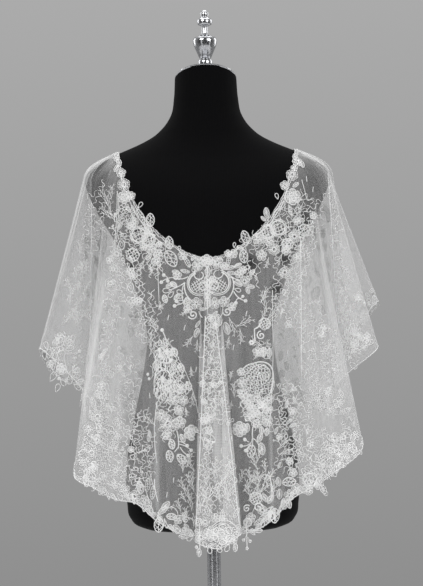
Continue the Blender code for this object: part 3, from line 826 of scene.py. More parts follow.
@dataclass
class TullePanels:
    """The shawl's cut pieces of soft tulle, as thin shells with a narrow seam between them."""

    cloth: ShawlCloth
    wall: float = 0.5 * MM
    seam: float = 0.3 * MM

    # x, height and radius in mm of the openwork on the back, where the tulle is cut away
    OPENWORK = ((-118, 893, 12), (-123, 872, 9), (63, 877, 13), (123, 906, 15), (150, 928, 16),
                (145, 945, 12), (118, 884, 10), (-113, 930, 8), (-130, 596, 12), (-126, 640, 10),
                (122, 640, 13), (128, 600, 12), (124, 570, 10), (105, 838, 9), (-112, 800, 9))
    # where the tulle is gathered, and where it is thinned as painted shade: x and height of the upper and
    # lower end, half width in mm, and the layers at its middle, under one for the painted shade
    GATHERS_AND_SHADE = ((-150, 860, -168, 560, 26, 1.5), (-128, 760, -150, 560, 12, 1.25),
               (-166, 830, -197, 670, 2.5, 2.6), (-190, 830, -212, 670, 8, 0.75),
               (0, 840, 12, 740, 14, 1.8), (6, 740, 18, 500, 24, 1.8), (7, 640, 10, 570, 11, 2.3),
               (-11, 790, -19, 640, 3.5, 0.45), (15, 790, 28, 640, 4, 0.45),
               (-84, 640, -86, 520, 5, 1.9), (90, 650, 92, 520, 3, 1.8),
               (150, 880, 180, 620, 32, 1.5), (205, 900, 225, 700, 16, 1.4),
               (-172, 1060, -178, 880, 22, 0.5), (160, 1060, 172, 960, 24, 0.55))

    def build(self, finish: Material) -> None:
        for panel in Panel:
            self.build_panel(panel, finish)

    def build_panel(self, panel: Panel, finish: Material) -> None:
        """Make one panel from the cloth's columns.

        The shell's faces are the cloth's grid moved by half the wall along its normals both ways,
        and a strip closes the edge. Its pattern goes by the lengths along the rows, from the
        panel's middle, and down the columns.

        Args:
            panel: Which panel.
            finish: Tulle.
        """
        cloth = self.cloth
        first, last = cloth.seam_column(panel.first_rib), cloth.seam_column(panel.last_rib)
        pick = np.arange(first, last + 1) % len(cloth.grid)
        middle = cloth.grid[pick].copy()
        out = cloth.normals[pick] * self.wall / 2
        for edge, beside in ((0, 1), (-1, -2)):
            middle[edge] += unit(middle[beside] - middle[edge]) * self.seam / 2
        along = run_along(middle)
        down = cloth.length[pick]
        along -= along[len(along) // 2]
        size = middle.shape[0] * middle.shape[1]
        faces = grid_faces(*middle.shape[:2])[:, ::-1]
        number = np.arange(size).reshape(middle.shape[:2])
        rim = np.concatenate([number[:, 0], number[-1, 1:], number[-2::-1, -1], number[0, -2:0:-1]])
        after = np.roll(rim, -1)
        strip = np.stack([rim, after, after + size, rim + size], axis=1)
        points = np.concatenate([(middle + out).reshape(-1, 3), (middle - out).reshape(-1, 3)])
        uv = np.tile(np.stack([along, down], axis=-1).reshape(-1, 2), (2, 1))
        made = make_piece("tulle_" + panel.node, points,
                          np.concatenate([faces, faces[:, ::-1] + size, strip]), finish, uv=uv,
                          crease_angle=70)
        # the layers hold the gathers, and the thinning under one layer that paints shade
        layer = made.data.attributes.new("layers", "FLOAT", "POINT")
        layer.data.foreach_set("value", self.layers(points))
        ride(made, "tulle", panel.node)

    def layers(self, points: Array) -> Array:
        """How many layers of tulle lie at each point.

        A gather changes the number by a bell curve of the distance from its line, and one of under a layer
        thins the tulle as painted shade. A patch of openwork leaves a fifth inside it and fades round it.
        The far side has one layer.

        Args:
            points: Points of a panel.

        Returns:
            The number of layers, which need not be whole.
        """
        near = points[:, 1] < -0.03
        layers = np.ones(len(points))
        for x_top, top, x_low, low, half, number in np.array(self.GATHERS_AND_SHADE) * (MM, MM, MM, MM, MM, 1):
            share = np.clip((top - points[:, 2]) / (top - low), 0, 1)
            across = (points[:, 0] - x_top - (x_low - x_top) * share) / half
            beyond = np.maximum(points[:, 2] - top, low - points[:, 2]).clip(0) / 0.03
            layers += near * (number - 1) * np.exp(-across ** 2 - beyond ** 2)
        spots = np.array(self.OPENWORK) * MM
        away = np.linalg.norm(points[:, None, (0, 2)] - spots[:, :2], axis=2) / spots[:, 2]
        cut = np.clip(1.6 - away, 0, 1).max(axis=1) * near
        return (layers * (1 - 0.8 * cut)).astype(np.float32)


# ---------------------------------------------------------------------------- lace motifs

@dataclass(frozen=True, eq=False)
class Cord:
    """One cord of a motif on flat cloth, with x to the right and y up."""

    route: Array
    width: float = 1.2               # mm, whatever the motif's size is
    closed: bool = False
    swell: float = 1.0               # width at the end over the width at the start
    share: float = 0.0               # further width, as a share of the motif's size


@dataclass(frozen=True, eq=False)
class Motif:
    """Cords, and satin-stitched pads given by their outlines.

    A motif is drawn one unit long, or with a radius of one unit, round its middle.
    """

    cords: tuple[Cord, ...] = ()
    pads: tuple[Array, ...] = ()

    def __add__(self, other: Motif) -> Motif:
        """Both motifs as one."""
        return Motif(self.cords + other.cords, self.pads + other.pads)

    def put(self, x: float = 0.0, y: float = 0.0, turn: float = 0.0, size: float = 1.0) -> Motif:
        """Place the motif.

        Args:
            x: Place to the right.
            y: Place upwards.
            turn: Turn in degrees, anticlockwise.
            size: Length of its unit; under nought, left and right are swapped too.

        Returns:
            The placed motif.
        """
        cos, sin = math.cos(math.radians(turn)), math.sin(math.radians(turn))
        frame = np.array([[cos, sin], [-sin, cos]]) * abs(size)
        if size < 0:
            frame = np.array([[-1.0, 0.0], [0.0, 1.0]]) @ frame

        def move(points: Array) -> Array:
            """Points in their new place."""
            return points @ frame + (x, y)

        return Motif(tuple(Cord(move(c.route), c.width, c.closed, c.swell, c.share * abs(size))
                           for c in self.cords),
                     tuple(move(pad)[::-1 if size < 0 else 1] for pad in self.pads))


def together(motifs: Iterable[Motif]) -> Motif:
    """All motifs as one."""
    return sum(motifs, Motif())


def ring(radius: float = 1.0, stretch: float = 1.0, lobes: int = 0, depth: float = 0.0,
         points: int = 12) -> Array:
    """Closed oval whose radius swings in a cosine of the given lobes and depth.

    Args:
        radius: Mean radius across.
        stretch: Height over width.
        lobes: Waves in a round.
        depth: Height of a wave over the radius.
        points: Number of points.

    Returns:
        Points, n x 2.
    """
    turn = full_turn(points)
    reach = radius * (1 + depth * np.cos(lobes * turn))
    return np.stack([reach * np.cos(turn), stretch * reach * np.sin(turn)], axis=1)


def drop(length: float, width: float, points: int = 9) -> Array:
    """Closed teardrop that stands on its point: sine of the turn times sine of half the turn.

    Args:
        length: Height of the drop.
        width: Its width.
        points: Number of points.

    Returns:
        Points, n x 2.
    """
    turn = full_turn(points)
    widest = 1.54                    # width of the curve before it is scaled
    return np.stack([width / widest * np.sin(turn) * np.sin(turn / 2),
                     length * (1 - np.cos(turn)) / 2], axis=1)


def blade(width: float, bend: float = 0.0, points: int = 12) -> Array:
    """Closed leaf outline, whose middle line bends in a parabola.

    Its half width is a power of the sine of the turn, which points both ends.

    Args:
        width: Width over the length.
        bend: How far the tip swings to the right.
        points: Number of points.

    Returns:
        Points, n x 2.
    """
    turn = full_turn(points)
    power = 1.35
    y = -np.cos(turn) / 2
    side = np.sign(np.sin(turn)) * np.abs(np.sin(turn)) ** power * width / 2
    return np.stack([side + bend * (y + 0.5) ** 2, y], axis=1)


def stem(length: float, bend: float, points: int = 7) -> Array:
    """Open arc that starts upwards and turns right by bend, in radians, over its length."""
    turn = bend * np.linspace(0, 1, points)
    return np.stack([length * (1 - np.cos(turn)) / bend, length * np.sin(turn) / bend], axis=1)


def bow(start: Sequence[float], end: Sequence[float], sagitta: float, points: int = 8) -> Array:
    """Open parabola from start to end, whose middle lies to the left of its way by a sagitta.

    Args:
        start: First point.
        end: Last point.
        sagitta: How far the middle stands off the straight line.
        points: Number of points.

    Returns:
        Points, n x 2.
    """
    share = np.linspace(0, 1, points)[:, None]
    way = np.subtract(end, start)
    left = unit(np.array([-way[1], way[0]]))
    return start + way * share + left * 4 * sagitta * share * (1 - share)


def along(route: Array, share: float) -> tuple[float, float, float]:
    """Place and heading of a route.

    Args:
        route: Points.
        share: Share of the route's points that lie before the place.

    Returns:
        x, y and the heading in degrees, 0 being upwards and anticlockwise being more.
    """
    at = share * (len(route) - 1)
    low = min(int(at), len(route) - 2)
    step = route[low + 1] - route[low]
    place = route[low] + step * (at - low)
    return float(place[0]), float(place[1]), math.degrees(math.atan2(-step[0], step[1]))


def lattice(outline: Array, pitch: float, width: float, turn: float = 45.0,
            wave: float = 0.14) -> Motif:
    """Net that ends at a closed outline: two families of wavy cords that cross.

    The outline is turned so that a family runs level. Each cord lies at a multiple of the pitch
    between two crossings of the outline, with its points over and under that level in turn.

    Args:
        outline: Corners of the area.
        pitch: Spacing of the cords.
        width: Cord width in mm.
        turn: Direction of the first family in degrees.
        wave: Swing of the cords as a share of the pitch.

    Returns:
        The net.
    """
    cords = []
    for way in (math.radians(turn), math.radians(turn + 84)):
        frame = np.array([[math.cos(way), -math.sin(way)], [math.sin(way), math.cos(way)]])
        x, y = (outline @ frame).T
        run, rise = np.roll(x, -1) - x, np.roll(y, -1) - y
        for number in range(math.ceil(y.min() / pitch), math.ceil(y.max() / pitch)):
            level = (number + 0.01) * pitch
            cross = (y > level) != (y + rise > level)
            at = np.sort((x + (level - y) / np.where(rise == 0, 1, rise) * run)[cross])
            for left, right in zip(at[::2], at[1::2]):
                count = max(2, round((right - left) / pitch) + 1)
                swing = wave * pitch * (-1.0) ** (np.arange(count) + number)
                line = np.stack([np.linspace(left, right, count), level + swing], axis=1)
                cords.append(Cord(line @ frame.T, width))
    return Motif(tuple(cords))


def curl() -> Motif:
    """Curl whose radius shrinks evenly with its turn, and ends in a small bead.

    Returns:
        The curl, with a radius of one.
    """
    share = np.linspace(0, 1, 18)
    turn, reach = 2 * math.pi * 1.3 * share, 1 - 0.78 * share
    route = np.stack([reach * np.cos(turn), reach * np.sin(turn)], axis=1)
    return Motif((Cord(route, 1.3, share=0.12),
                  Cord(ring(0.12, points=5) + route[-1], 0.8, True, share=0.12)))


def flower(petals: int, heart: float = 0.24, fullness: float = 0.86, width: float = 1.35,
           padded: bool = True) -> Motif:
    """Open flower: teardrop petals round a ring.

    Args:
        petals: Number of petals.
        heart: Radius of the ring.
        fullness: Width of a petal over its share of the round.
        width: Cord width in mm.
        padded: Whether the petals are filled.

    Returns:
        The flower, with a radius of one.
    """
    reach = 1 - heart * 0.7
    wide = 2 * math.pi * (heart + reach * 0.62) / petals * fullness
    petal = Motif((Cord(drop(reach, wide), width, True),),
                  (drop(reach * 0.94, wide * 0.7, 7),) if padded else ())
    crown = together(petal.put(0, heart * 0.7).put(turn=360 / petals * k) for k in range(petals))
    return crown + Motif((Cord(ring(heart, points=7), width * 0.9, True),))


def peony() -> Motif:
    """Full bloom: two rounds of shell petals round a heart cord that winds outwards.

    Returns:
        The bloom, with a radius of one.
    """
    parts = []
    for count, inner, long, shift in ((6, 0.44, 0.56, 0.0), (4, 0.16, 0.36, 25.0)):
        petal = drop(long, 2 * math.pi * (inner + long * 0.6) / count * 0.92)
        shape = Motif((Cord(petal, 0.7, True, share=0.13),), (petal * (0.8, 0.94),))
        parts += [shape.put(0, inner).put(turn=shift + 360 / count * k) for k in range(count)]
    share = np.linspace(0, 1, 10)
    turn, reach = 2 * math.pi * 1.3 * share, 0.02 + 0.15 * share
    swirl = np.stack([reach * np.cos(turn), reach * np.sin(turn)], axis=1)
    return together(parts) + Motif((Cord(swirl, 0.6, share=0.05),))


def leaf(width: float = 0.36, bend: float = 0.10, veins: int = 4, padded: bool = False,
         cord: float = 1.2) -> Motif:
    """Leaf with an outline, a midrib and paired side veins.

    Args:
        width: Width over the length.
        bend: How far the tip swings to the right.
        veins: Pairs of side veins.
        padded: Whether the leaf is filled.
        cord: Cord width in mm.

    Returns:
        The leaf, one unit long.
    """
    outline = blade(width, bend)
    y = np.linspace(0, 1, 4)
    cords = [Cord(outline, cord, True), Cord(np.stack([bend * y ** 2, y - 0.5], axis=1), cord * 0.8)]
    for share in np.linspace(0.2, 0.74, veins):
        reach = width * 0.42 * math.sin(math.pi * share) ** 0.6
        x, root = bend * share ** 2, share - 0.5
        for side in (-1, 1):
            tip = (x + side * reach + bend * 0.1, root + reach * 0.75)
            cords.append(Cord(np.array([(x, root), tip]), cord * 0.65))
    return Motif(tuple(cords), (outline * (0.92, 0.97),) if padded else ())


def net_leaf() -> Motif:
    """Broad leaf with a bold outline and a midrib over a net.

    Returns:
        The leaf, one unit long.
    """
    outline = blade(0.62, 0.06, 14)
    midrib = bow((0.0, -0.5), (0.05, 0.5), -0.01, 4)
    return lattice(outline * 0.94, 0.21, 1.05, 50) + Motif(
        (Cord(outline, 1.3, True, share=0.02), Cord(midrib, 1.2)))


def wheel() -> Motif:
    """Broad band round a thick net.

    Returns:
        The wheel, with a radius of one.
    """
    return lattice(ring(0.78), 0.38, 1.0, 20, 0.08) + Motif(
        (Cord(ring(0.78, points=14), 0.5, True, share=0.14),
         Cord(ring(0.95, lobes=9, depth=0.05, points=27), 0.9, True, share=0.04)))


def net_disc() -> Motif:
    """Round patch of net with a wavy rim."""
    rim = ring(0.95, lobes=7, depth=0.07, points=21)
    return lattice(rim, 0.40, 1.35, 30) + Motif((Cord(rim, 1.2, True),))


def crescent() -> Motif:
    """C-shaped scroll: a bold double rim that ends in a hook, over a net and a smaller ring.

    Returns:
        The scroll, with a radius of one.
    """

    def arc(first: float, last: float, radius: float) -> Array:
        """Points from the first to the last angle in degrees."""
        turn = np.radians(np.linspace(first, last, 18))
        return np.stack([np.cos(turn), np.sin(turn)], axis=1) * radius

    net = lattice(ring(0.72, 0.78), 0.21, 1.1, 35, 0.06).put(0.02, -0.22)
    hook = arc(130, 420, 1.0) * np.linspace(0.52, 0.22, 18)[:, None]
    return net + Motif((
        Cord(arc(100, 318, 1.0), 1.6, swell=0.8),
        Cord(arc(108, 306, 0.87), 0.4, swell=0.5, share=0.13),
        Cord(hook + (0.05, 0.72), 0.9, swell=0.8, share=0.06),
        Cord(ring(0.38, 0.85) + (0.34, -0.24), 0.5, True, share=0.07),
        Cord(bow((0.42, 0.50), (0.86, -0.30), 0.16), 1.5),
        Cord(bow((0.86, -0.30), (0.40, -0.86), 0.10), 1.3)))


def spray() -> Motif:
    """Curved stem with four pairs of small padded petals and one petal at its end.

    Returns:
        The spray, one unit long.
    """
    route = stem(1.0, 0.4) - (0, 0.5)
    petal = Motif((Cord(drop(0.22, 0.1232, 8), 1.1, True),), (drop(0.2024, 0.1012, 6),))
    parts = [Motif((Cord(route, 1.2, swell=0.8),))]
    for share in (0.2, 0.4, 0.6, 0.8):
        x, y, heading = along(route, share)
        parts += [petal.put(x, y, heading + side * 48) for side in (-1, 1)]
    x, y, heading = along(route, 1.0)
    return together(parts) + petal.put(x, y, heading, 0.9)


def sprig() -> Motif:
    """Forked stem with three satin bulbs.

    Returns:
        The sprig, one unit long.
    """
    bulb = dot().put(size=0.11)
    parts = [Motif((Cord(stem(0.8, 0.4) - (0.0, 0.5), 1.3),)),
             Motif((Cord(bow((0.03, -0.15), (0.32, 0.28), 0.05, 5), 1.2),
                    Cord(bow((0.02, -0.05), (-0.24, 0.36), -0.05, 5), 1.2)))]
    return together(parts) + together(bulb.put(x, y) for x, y in
                                      ((0.16, 0.34), (0.36, 0.32), (-0.26, 0.42)))


def dot() -> Motif:
    """Small round bulb in satin stitch."""
    return Motif((Cord(ring(0.58, points=6), 0.4, True, share=0.85),))


def coral() -> Motif:
    """Branching sprig: a curved stem with five forked side twigs, in turn left and right.

    Returns:
        The twig, one unit long.
    """
    route = stem(1.0, 0.3) - (0, 0.5)
    cords = [Cord(route, 1.035, swell=0.75)]
    for k in range(5):
        share = (k + 0.5) / 5.2
        x, y, heading = along(route, share)
        side = 1 if k % 2 else -1
        long = 0.52 * (1.1 - 0.45 * share)
        main = stem(long, side * 0.5, 4)
        aside = np.array([[0.72, side * 0.69], [-side * 0.69, 0.72]])
        fork = stem(long * 0.45, side * 0.4, 3) @ aside + main[2]
        twig = Motif((Cord(main, 0.81, swell=1.15), Cord(fork, 0.72)))
        cords += twig.put(x, y, heading + side * 30).cords
    return Motif(tuple(cords))


def fan(strands: int = 5, spread: float = 26.0, wide: float = 0.2, cord: float = 1.1) -> Motif:
    """Long narrow loops that fan out from one point.

    Args:
        strands: Number of loops.
        spread: Degrees from the middle loop to the outer ones.
        wide: Width of a loop.
        cord: Cord width in mm.

    Returns:
        The fan, one unit long.
    """
    loops = [Motif((Cord(drop(1 - 0.2 * abs(share), wide), cord, True),)).put(turn=-share * spread)
             for share in np.linspace(-1, 1, strands)]
    return together(loops).put(0, -0.5)


# ---------------------------------------------------------------------------- lace on the cloth

class Kind(Enum):
    """Motifs of the lace, each drawn once and placed many times."""

    BLOSSOM = flower(5)
    DAISY = flower(7, 0.3, 0.95, 1.1, padded=False)
    EYELET = flower(6, 0.34, 1.0, 1.0) + Motif((Cord(ring(0.36, points=9), 0.5, True, share=0.12),))
    PEONY = peony()
    LEAF = leaf()
    NET_LEAF = net_leaf()
    PAD_LEAF = leaf(0.52, 0.04, 0, padded=True, cord=1.35)
    LOOP = Motif((Cord(drop(1.0, 0.56, 10), 1.4, True),)).put(0, -0.5)
    DOT = dot()
    SPRAY = spray()
    SPRIG = sprig()
    CORAL = coral()
    FEATHER = fan()
    CRESCENT = crescent()
    WHEEL = wheel()
    NET_DISC = net_disc()
    CURL = curl()
    OVAL = Motif((Cord(ring(0.6, 1.6), 1.3, True), Cord(ring(0.24, 1.8, points=7), 0.9, True)))
    STAR = fan(5, 144.0, 0.3, 1.0).put(0, 0.5)
    DASH = Motif((Cord(stem(1.0, 0.2, 4), 1.7, swell=0.7),))


class Ground(Enum):
    """Small lace that fills an area."""

    VERMICELLI = "thin cords that meander any way"
    UPRIGHT = "thin cords that meander downwards"
    MESH = "open net"
    CORALS = "branching sprigs"


# Motifs on the back: for each piece and kind, rows of x, height, size and, if it is turned, the turn
# in degrees. A long motif's size is its length and a round one's its radius; under nought it is
# mirrored. Lengths are mm.
MOTIFS_ON_BACK = {
    "neck_lace_back_left": {
        Kind.BLOSSOM: ((-135, 1023, 7.5), (-119, 986, 6.5), (-89, 903, 8.5, 10), (-76, 909, 5),
            (-81, 883, 8), (-79, 895, 7.5, 36), (-40, 891, 7.5), (-101, 905, 5.5)),
        Kind.EYELET: ((-131, 1004, 10), (-115, 945, 7), (-143, 896, 8.5), (-154, 850, 8.5),
            (-149, 872, 7, 20), (-110, 822, 6)),
        Kind.PEONY: ((-130, 984, 10),),
        Kind.DAISY: ((-130, 966, 8.5, 10),),
        Kind.LOOP: ((-105, 971, 10, -35), (-45, 902, 7.5, 10)),
        Kind.WHEEL: ((-108, 924, 14.5), (-93, 917, 11.5)),
        Kind.NET_LEAF: ((-90, 947, 21, 5), (-61, 911, 20, 10), (-58, 887, 28, -145)),
        Kind.PAD_LEAF: ((-96, 937, 11, 40), (-93, 890, 12.5, 140), (-139, 1040, 14, 15),
            (-143, 1031, 12.5, -20), (-144, 1048, 12.5, 10), (-24, 887, 9.5, -30)),
        Kind.LEAF: ((-33, 881, 18.5, -145), (-104, 954, 24.5, -148), (-116, 961, 18.5, -170),
            (-15, 886, 12.5, -100)),
        Kind.OVAL: ((-135, 910, 8), (-122, 843, 7.5)),
        Kind.NET_DISC: ((-118, 893, 11),),
        Kind.CORAL: ((-125, 944, 18.5, -165), (-103, 877, 20, 160), (-89, 872, 15.5, -160),
            (-125, 873, 18.5, -175), (-139, 946, 18.5), (-163, 985, 28, 28), (-156, 974, 26.5, 20),
            (-161, 960, 24.5, 45), (-152, 991, 21.5, 5), (-151, 954, 21.5, 40)),
    },
    "neck_lace_back_right": {
        Kind.BLOSSOM: ((121, 998, 7.5), (142, 1036, 7.5), (77, 915, 9), (94, 912, 8.5, 20), (82, 889, 8.5),
            (30, 893, 5.5), (38, 892, 7), (137, 1026, 5.5)),
        Kind.EYELET: ((133, 1015, 9.5), (102, 898, 9), (134, 918, 9), (118, 862, 8.5)),
        Kind.PEONY: ((133, 980, 12.5),),
        Kind.PAD_LEAF: ((138, 999, 11.5, -50), (149, 1033, 14, -150), (91, 955, 17, 10), (86, 946, 9.5, 50),
            (139, 1045, 12.5), (49, 901, 11, 60)),
        Kind.LOOP: ((108, 981, 9.5, 15), (40, 906, 7.5, -15)),
        Kind.WHEEL: ((109, 932, 14), (93, 926, 12)),
        Kind.NET_LEAF: ((57, 918, 20, 25), (54, 888, 21, 10)),
        Kind.LEAF: ((116, 966, 17, 155), (108, 954, 20, 152), (31, 881, 17, 178), (129, 959, 15.5, -165)),
        Kind.NET_DISC: ((123, 906, 9.5, 20), (150, 928, 10)),
        Kind.CORAL: ((143, 966, 18.5, -160), (112, 884, 18.5, 160), (92, 878, 15.5, 170),
            (145, 902, 18.5, -180)),
    },
    "back_medallion": {
        Kind.PEONY: ((-3, 882, 9.5),),
        Kind.BLOSSOM: ((-17, 875, 8.5), (13, 879, 10, 20), (24, 873, 6), (-49, 860, 7), (-20, 816, 9.5),
            (23, 818, 8.5, 10), (-3, 825, 5.5), (8, 816, 8.5), (47, 861, 7), (53, 867, 6), (-33, 808, 7),
            (35, 810, 6.5)),
        Kind.CRESCENT: ((-15, 847, 19), (14, 848, -19.5)),
        Kind.CURL: ((27, 803, 7.5, 150), (-26, 799, 7.5, -160)),
        Kind.EYELET: ((55, 849, 7.5),),
        Kind.LEAF: ((-37, 866, 14.5, 82), (-10, 807, 11, 100), (-18, 784, 12.5, 150), (33, 871, 15.5, -70),
            (35, 863, 14, -95), (8, 799, 12.5, 140)),
        Kind.PAD_LEAF: ((-2, 865, 15.5), (-3, 851, 17, -180), (-3, 834, 17), (-3, 816, 17, -180),
            (-20, 771, 15.5, 160), (65, 841, 11, -100), (60, 835, 11, -160), (26, 777, 20, -160),
            (67, 863, 11, -40), (14, 790, 18.5, -170), (-51, 865, 12.5, 75), (-61, 845, 12.5, 112),
            (-50, 827, 12.5, 140), (45, 874, 12.5, -62), (45, 846, 14, -118)),
        Kind.NET_LEAF: ((-55, 846, 11.5, 60), (-69, 824, 13, 20), (-35, 819, 13, 15)),
        Kind.LOOP: ((-65, 837, 14, 90), (-59, 831, 11.5, 135), (44, 836, 10, -110), (-45, 834, 11, 65),
            (-46, 827, 11, 85), (-44, 819, 11, 105), (58, 870, 9.5, -60), (62, 855, 9.5, -95)),
        Kind.DOT: ((-74, 850, 3), (-70, 861, 3), (-64, 852, 3), (-51, 820, 3), (-54, 813, 3), (52, 826, 2.5),
            (56, 819, 3), (41, 816, 3)),
        Kind.CORAL: ((36, 783, 26.5, -150), (51, 786, 26.5, -55), (49, 766, 20, -165), (-31, 758, 18.5, 150),
            (-19, 752, 17, -175), (29, 756, 18.5, 175), (-37, 803, 14, 140)),
        Kind.STAR: ((-76, 813, 7.5, 10),),
    },
    "side_applique_left": {
        Kind.DOT: ((-74, 776, 3), (-38, 597, 3), (-32, 590, 3), (-37, 582, 3), (-97, 708, 2.5),
            (-95, 701, 2.5)),
        Kind.OVAL: ((-77, 756, 5, 10), (-69, 747, 5)),
        Kind.BLOSSOM: ((-59, 668, 8.5), (-43, 667, 8, 30), (-50, 652, 7.5), (-49, 633, 9.5), (-77, 645, 8.5),
            (-69, 614, 7.5), (-46, 685, 7.5)),
        Kind.EYELET: ((-67, 631, 13.5),),
        Kind.LOOP: ((-68, 756, 12.5, 10), (-75, 742, 14, -8), (-62, 741, 12.5, 15), (-73, 720, 15.5),
            (-61, 711, 14, -20), (-54, 692, 14, -15), (-78, 693, 15.5), (-66, 686, 14, -5),
            (-37, 680, 9.5, -20)),
        Kind.PEONY: ((-31, 617, 11.5),),
        Kind.NET_LEAF: ((-55, 742, 14.5, -150), (-45, 717, 14.5, -155), (-34, 689, 14.5, -155),
            (-62, 600, 15.5, 15), (-65, 582, 18, -165), (-47, 577, 18.5, -135)),
        Kind.PAD_LEAF: ((-84, 722, 17), (-45, 609, 14, -150), (-58, 742, 12.5, 170)),
        Kind.FEATHER: ((-69, 734, 26.5, 172), (-57, 719, 29.5, -158), (-74, 686, 40, -178),
            (-60, 683, 37, -172), (-79, 738, 21.5, 178)),
        Kind.STAR: ((-44, 704, 5.5),),
        Kind.CORAL: ((-29, 712, 14, -168), (-27, 670, 20, -174), (-38, 650, 12.5, -165)),
    },
    "side_applique_right": {
        Kind.CURL: ((79, 765, 7, 90),),
        Kind.NET_DISC: ((85, 783, 9.5),),
        Kind.DOT: ((64, 754, 4.5), (45, 595, 3), (52, 588, 3), (51, 605, 3)),
        Kind.BLOSSOM: ((73, 740, 7.5), (47, 709, 6), (48, 693, 8), (50, 677, 9.5), (59, 642, 9.5),
            (86, 633, 8.5), (58, 659, 7.5), (88, 651, 7), (28, 634, 6.5), (71, 629, 7), (54, 667, 8),
            (79, 661, 8), (68, 645, 7.5)),
        Kind.PAD_LEAF: ((82, 739, 16), (91, 738, 14.5), (55, 623, 14), (74, 608, 14.5, -20),
            (77, 591, 19.5, -170), (77, 619, 12.5, -180), (85, 617, 12.5, 178)),
        Kind.EYELET: ((76, 650, 12.5), (69, 669, 7.5), (89, 667, 7.5)),
        Kind.OVAL: ((85, 702, 7.5, 8),),
        Kind.PEONY: ((43, 621, 11.5),),
        Kind.NET_LEAF: ((61, 587, 20, 172),),
        Kind.LEAF: ((94, 687, 24.5, 175),),
        Kind.CORAL: ((34, 680, 21.5, 10), (31, 660, 12.5, 170), (30, 703, 12.5)),
    },
    "hem_lace_gore": {
        Kind.PEONY: ((14, 464, 15), (-4, 465, 11)),
        Kind.EYELET: ((-19, 460, 8.5), (-12, 483, 7)),
        Kind.BLOSSOM: ((38, 469, 9.5), (-26, 464, 7), (4, 489, 7), (30, 456, 7)),
        Kind.WHEEL: ((53, 478, 7), (-22, 483, 7.5)),
        Kind.DOT: ((-26, 445, 3), (46, 451, 3), (56, 449, 3), (51, 438, 3)),
        Kind.PAD_LEAF: ((-22, 437, 13, -180), (33, 444, 13, -180), (69, 466, 13, -85), (60, 463, 11, -130)),
        Kind.LOOP: ((-6, 442, 12.5, -176), (8, 443, 12.5, -152), (21, 444, 12.5, 150), (-36, 455, 11, 120)),
        Kind.LEAF: ((-9, 500, 18.5, 20), (35, 496, 17, -20), (-22, 502, 17), (14, 493, 17, 10)),
    },
    "hem_lace_back_left": {
        Kind.NET_LEAF: ((-83, 478, 22.5, -180), (-111, 534, 18.5, -160), (-97, 500, 17, -150),
            (-64, 490, 15.5, -95)),
        Kind.PAD_LEAF: ((-73, 507, 16, -45), (-77, 500, 16, -50), (-56, 471, 15.5, -130),
            (-47, 458, 13, -100), (-44, 491, 12.5, -30), (-41, 472, 12.5, -150)),
        Kind.EYELET: ((-121, 520, 9.5), (-187, 588, 9.5), (-149, 561, 7.5)),
        Kind.BLOSSOM: ((-171, 529, 7), (-136, 531, 8.5, 10), (-152, 540, 7), (-192, 560, 7, 30),
            (-200, 574, 7), (-161, 584, 8.5), (-105, 515, 7.5, 20), (-180, 544, 7), (-54, 484, 7)),
        Kind.CURL: ((-169, 551, 7, 60), (-42, 483, 5.5)),
        Kind.PEONY: ((-184, 566, 7.5),),
        Kind.LOOP: ((-123, 552, 11.5, 90), (-115, 546, 9.5, 120)),
        Kind.LEAF: ((-99, 538, 21.5, 178), (-91, 527, 21.5, 178), (-96, 509, 15.5, -170),
            (-36, 465, 18.5, -125), (-30, 455, 14, -100)),
        Kind.CORAL: ((-35, 508, 24.5, 14), (-32, 547, 20, 10), (-46, 517, 15.5, 40), (-70, 505, 18.5, -80),
            (-30, 482, 21.5)),
        Kind.OVAL: ((-178, 608, 7.5, 20),),
    },
    "hem_lace_back_right": {
        Kind.NET_LEAF: ((95, 489, 22.5, -178), (118, 539, 21.5, -82), (218, 589, 18.5, -140),
            (109, 504, 14, -150)),
        Kind.PAD_LEAF: ((80, 516, 14.5, 35), (88, 514, 14.5, -30), (101, 540, 14.5, 15), (102, 521, 15.5),
            (183, 551, 12.5, -150), (170, 527, 17, -145), (198, 565, 17, -140), (117, 505, 15.5, -160)),
        Kind.BLOSSOM: ((118, 518, 8.5), (130, 527, 8.5), (58, 485, 7.5), (170, 563, 7.5), (205, 576, 7.5),
            (184, 583, 6), (223, 607, 7), (164, 533, 7)),
        Kind.EYELET: ((191, 602, 9.5), (179, 590, 8.5), (193, 588, 8.5), (76, 497, 7.5), (147, 526, 7.5)),
        Kind.WHEEL: ((150, 542, 12.5),),
        Kind.CURL: ((70, 501, 7.5), (52, 499, 6, 40)),
        Kind.LEAF: ((85, 495, 21.5, 138), (79, 487, 21.5, 135), (71, 479, 18.5, 130), (163, 552, 24.5, -150),
            (171, 557, 21.5, -155), (204, 600, 21.5, -170)),
        Kind.CORAL: ((53, 536, 28, -30), (69, 548, 24.5, -50), (43, 548, 20, -10), (78, 531, 18.5, -40),
            (62, 520, 21.5, -35)),
        Kind.NET_DISC: ((66, 515, 10), (173, 572, 9.5)),
        Kind.LOOP: ((188, 549, 11, -140), (173, 521, 11, -142)),
    },
    "hem_lace_wing_left": {
        Kind.DAISY: ((-222, 755, 8), (-211, 709, 7.5)),
        Kind.EYELET: ((-224, 763, 6.5),),
        Kind.BLOSSOM: ((-238, 767, 7), (-253, 724, 6)),
        Kind.LOOP: ((-259, 753, 13, 15), (-262, 738, 14.5, 5), (-255, 740, 15.5, -8), (-249, 722, 17, 5),
            (-249, 704, 17, -30), (-242, 686, 14, -22), (-233, 695, 12.5, -140), (-222, 700, 16, 178),
            (-210, 688, 13, -130), (-216, 763, 12.5), (-222, 748, 14, -65), (-237, 755, 14, -50),
            (-243, 745, 14, -60), (-236, 762, 17, -50)),
        Kind.NET_LEAF: ((-205, 696, 14, -70), (-244, 759, 14, -35)),
        Kind.CURL: ((-210, 715, 7.5, 90),),
        Kind.PEONY: ((-235, 716, 8.5),),
        Kind.OVAL: ((-246, 739, 7, 8),),
        Kind.DOT: ((-205, 744, 3), (-213, 733, 3), (-239, 701, 3), (-201, 727, 2)),
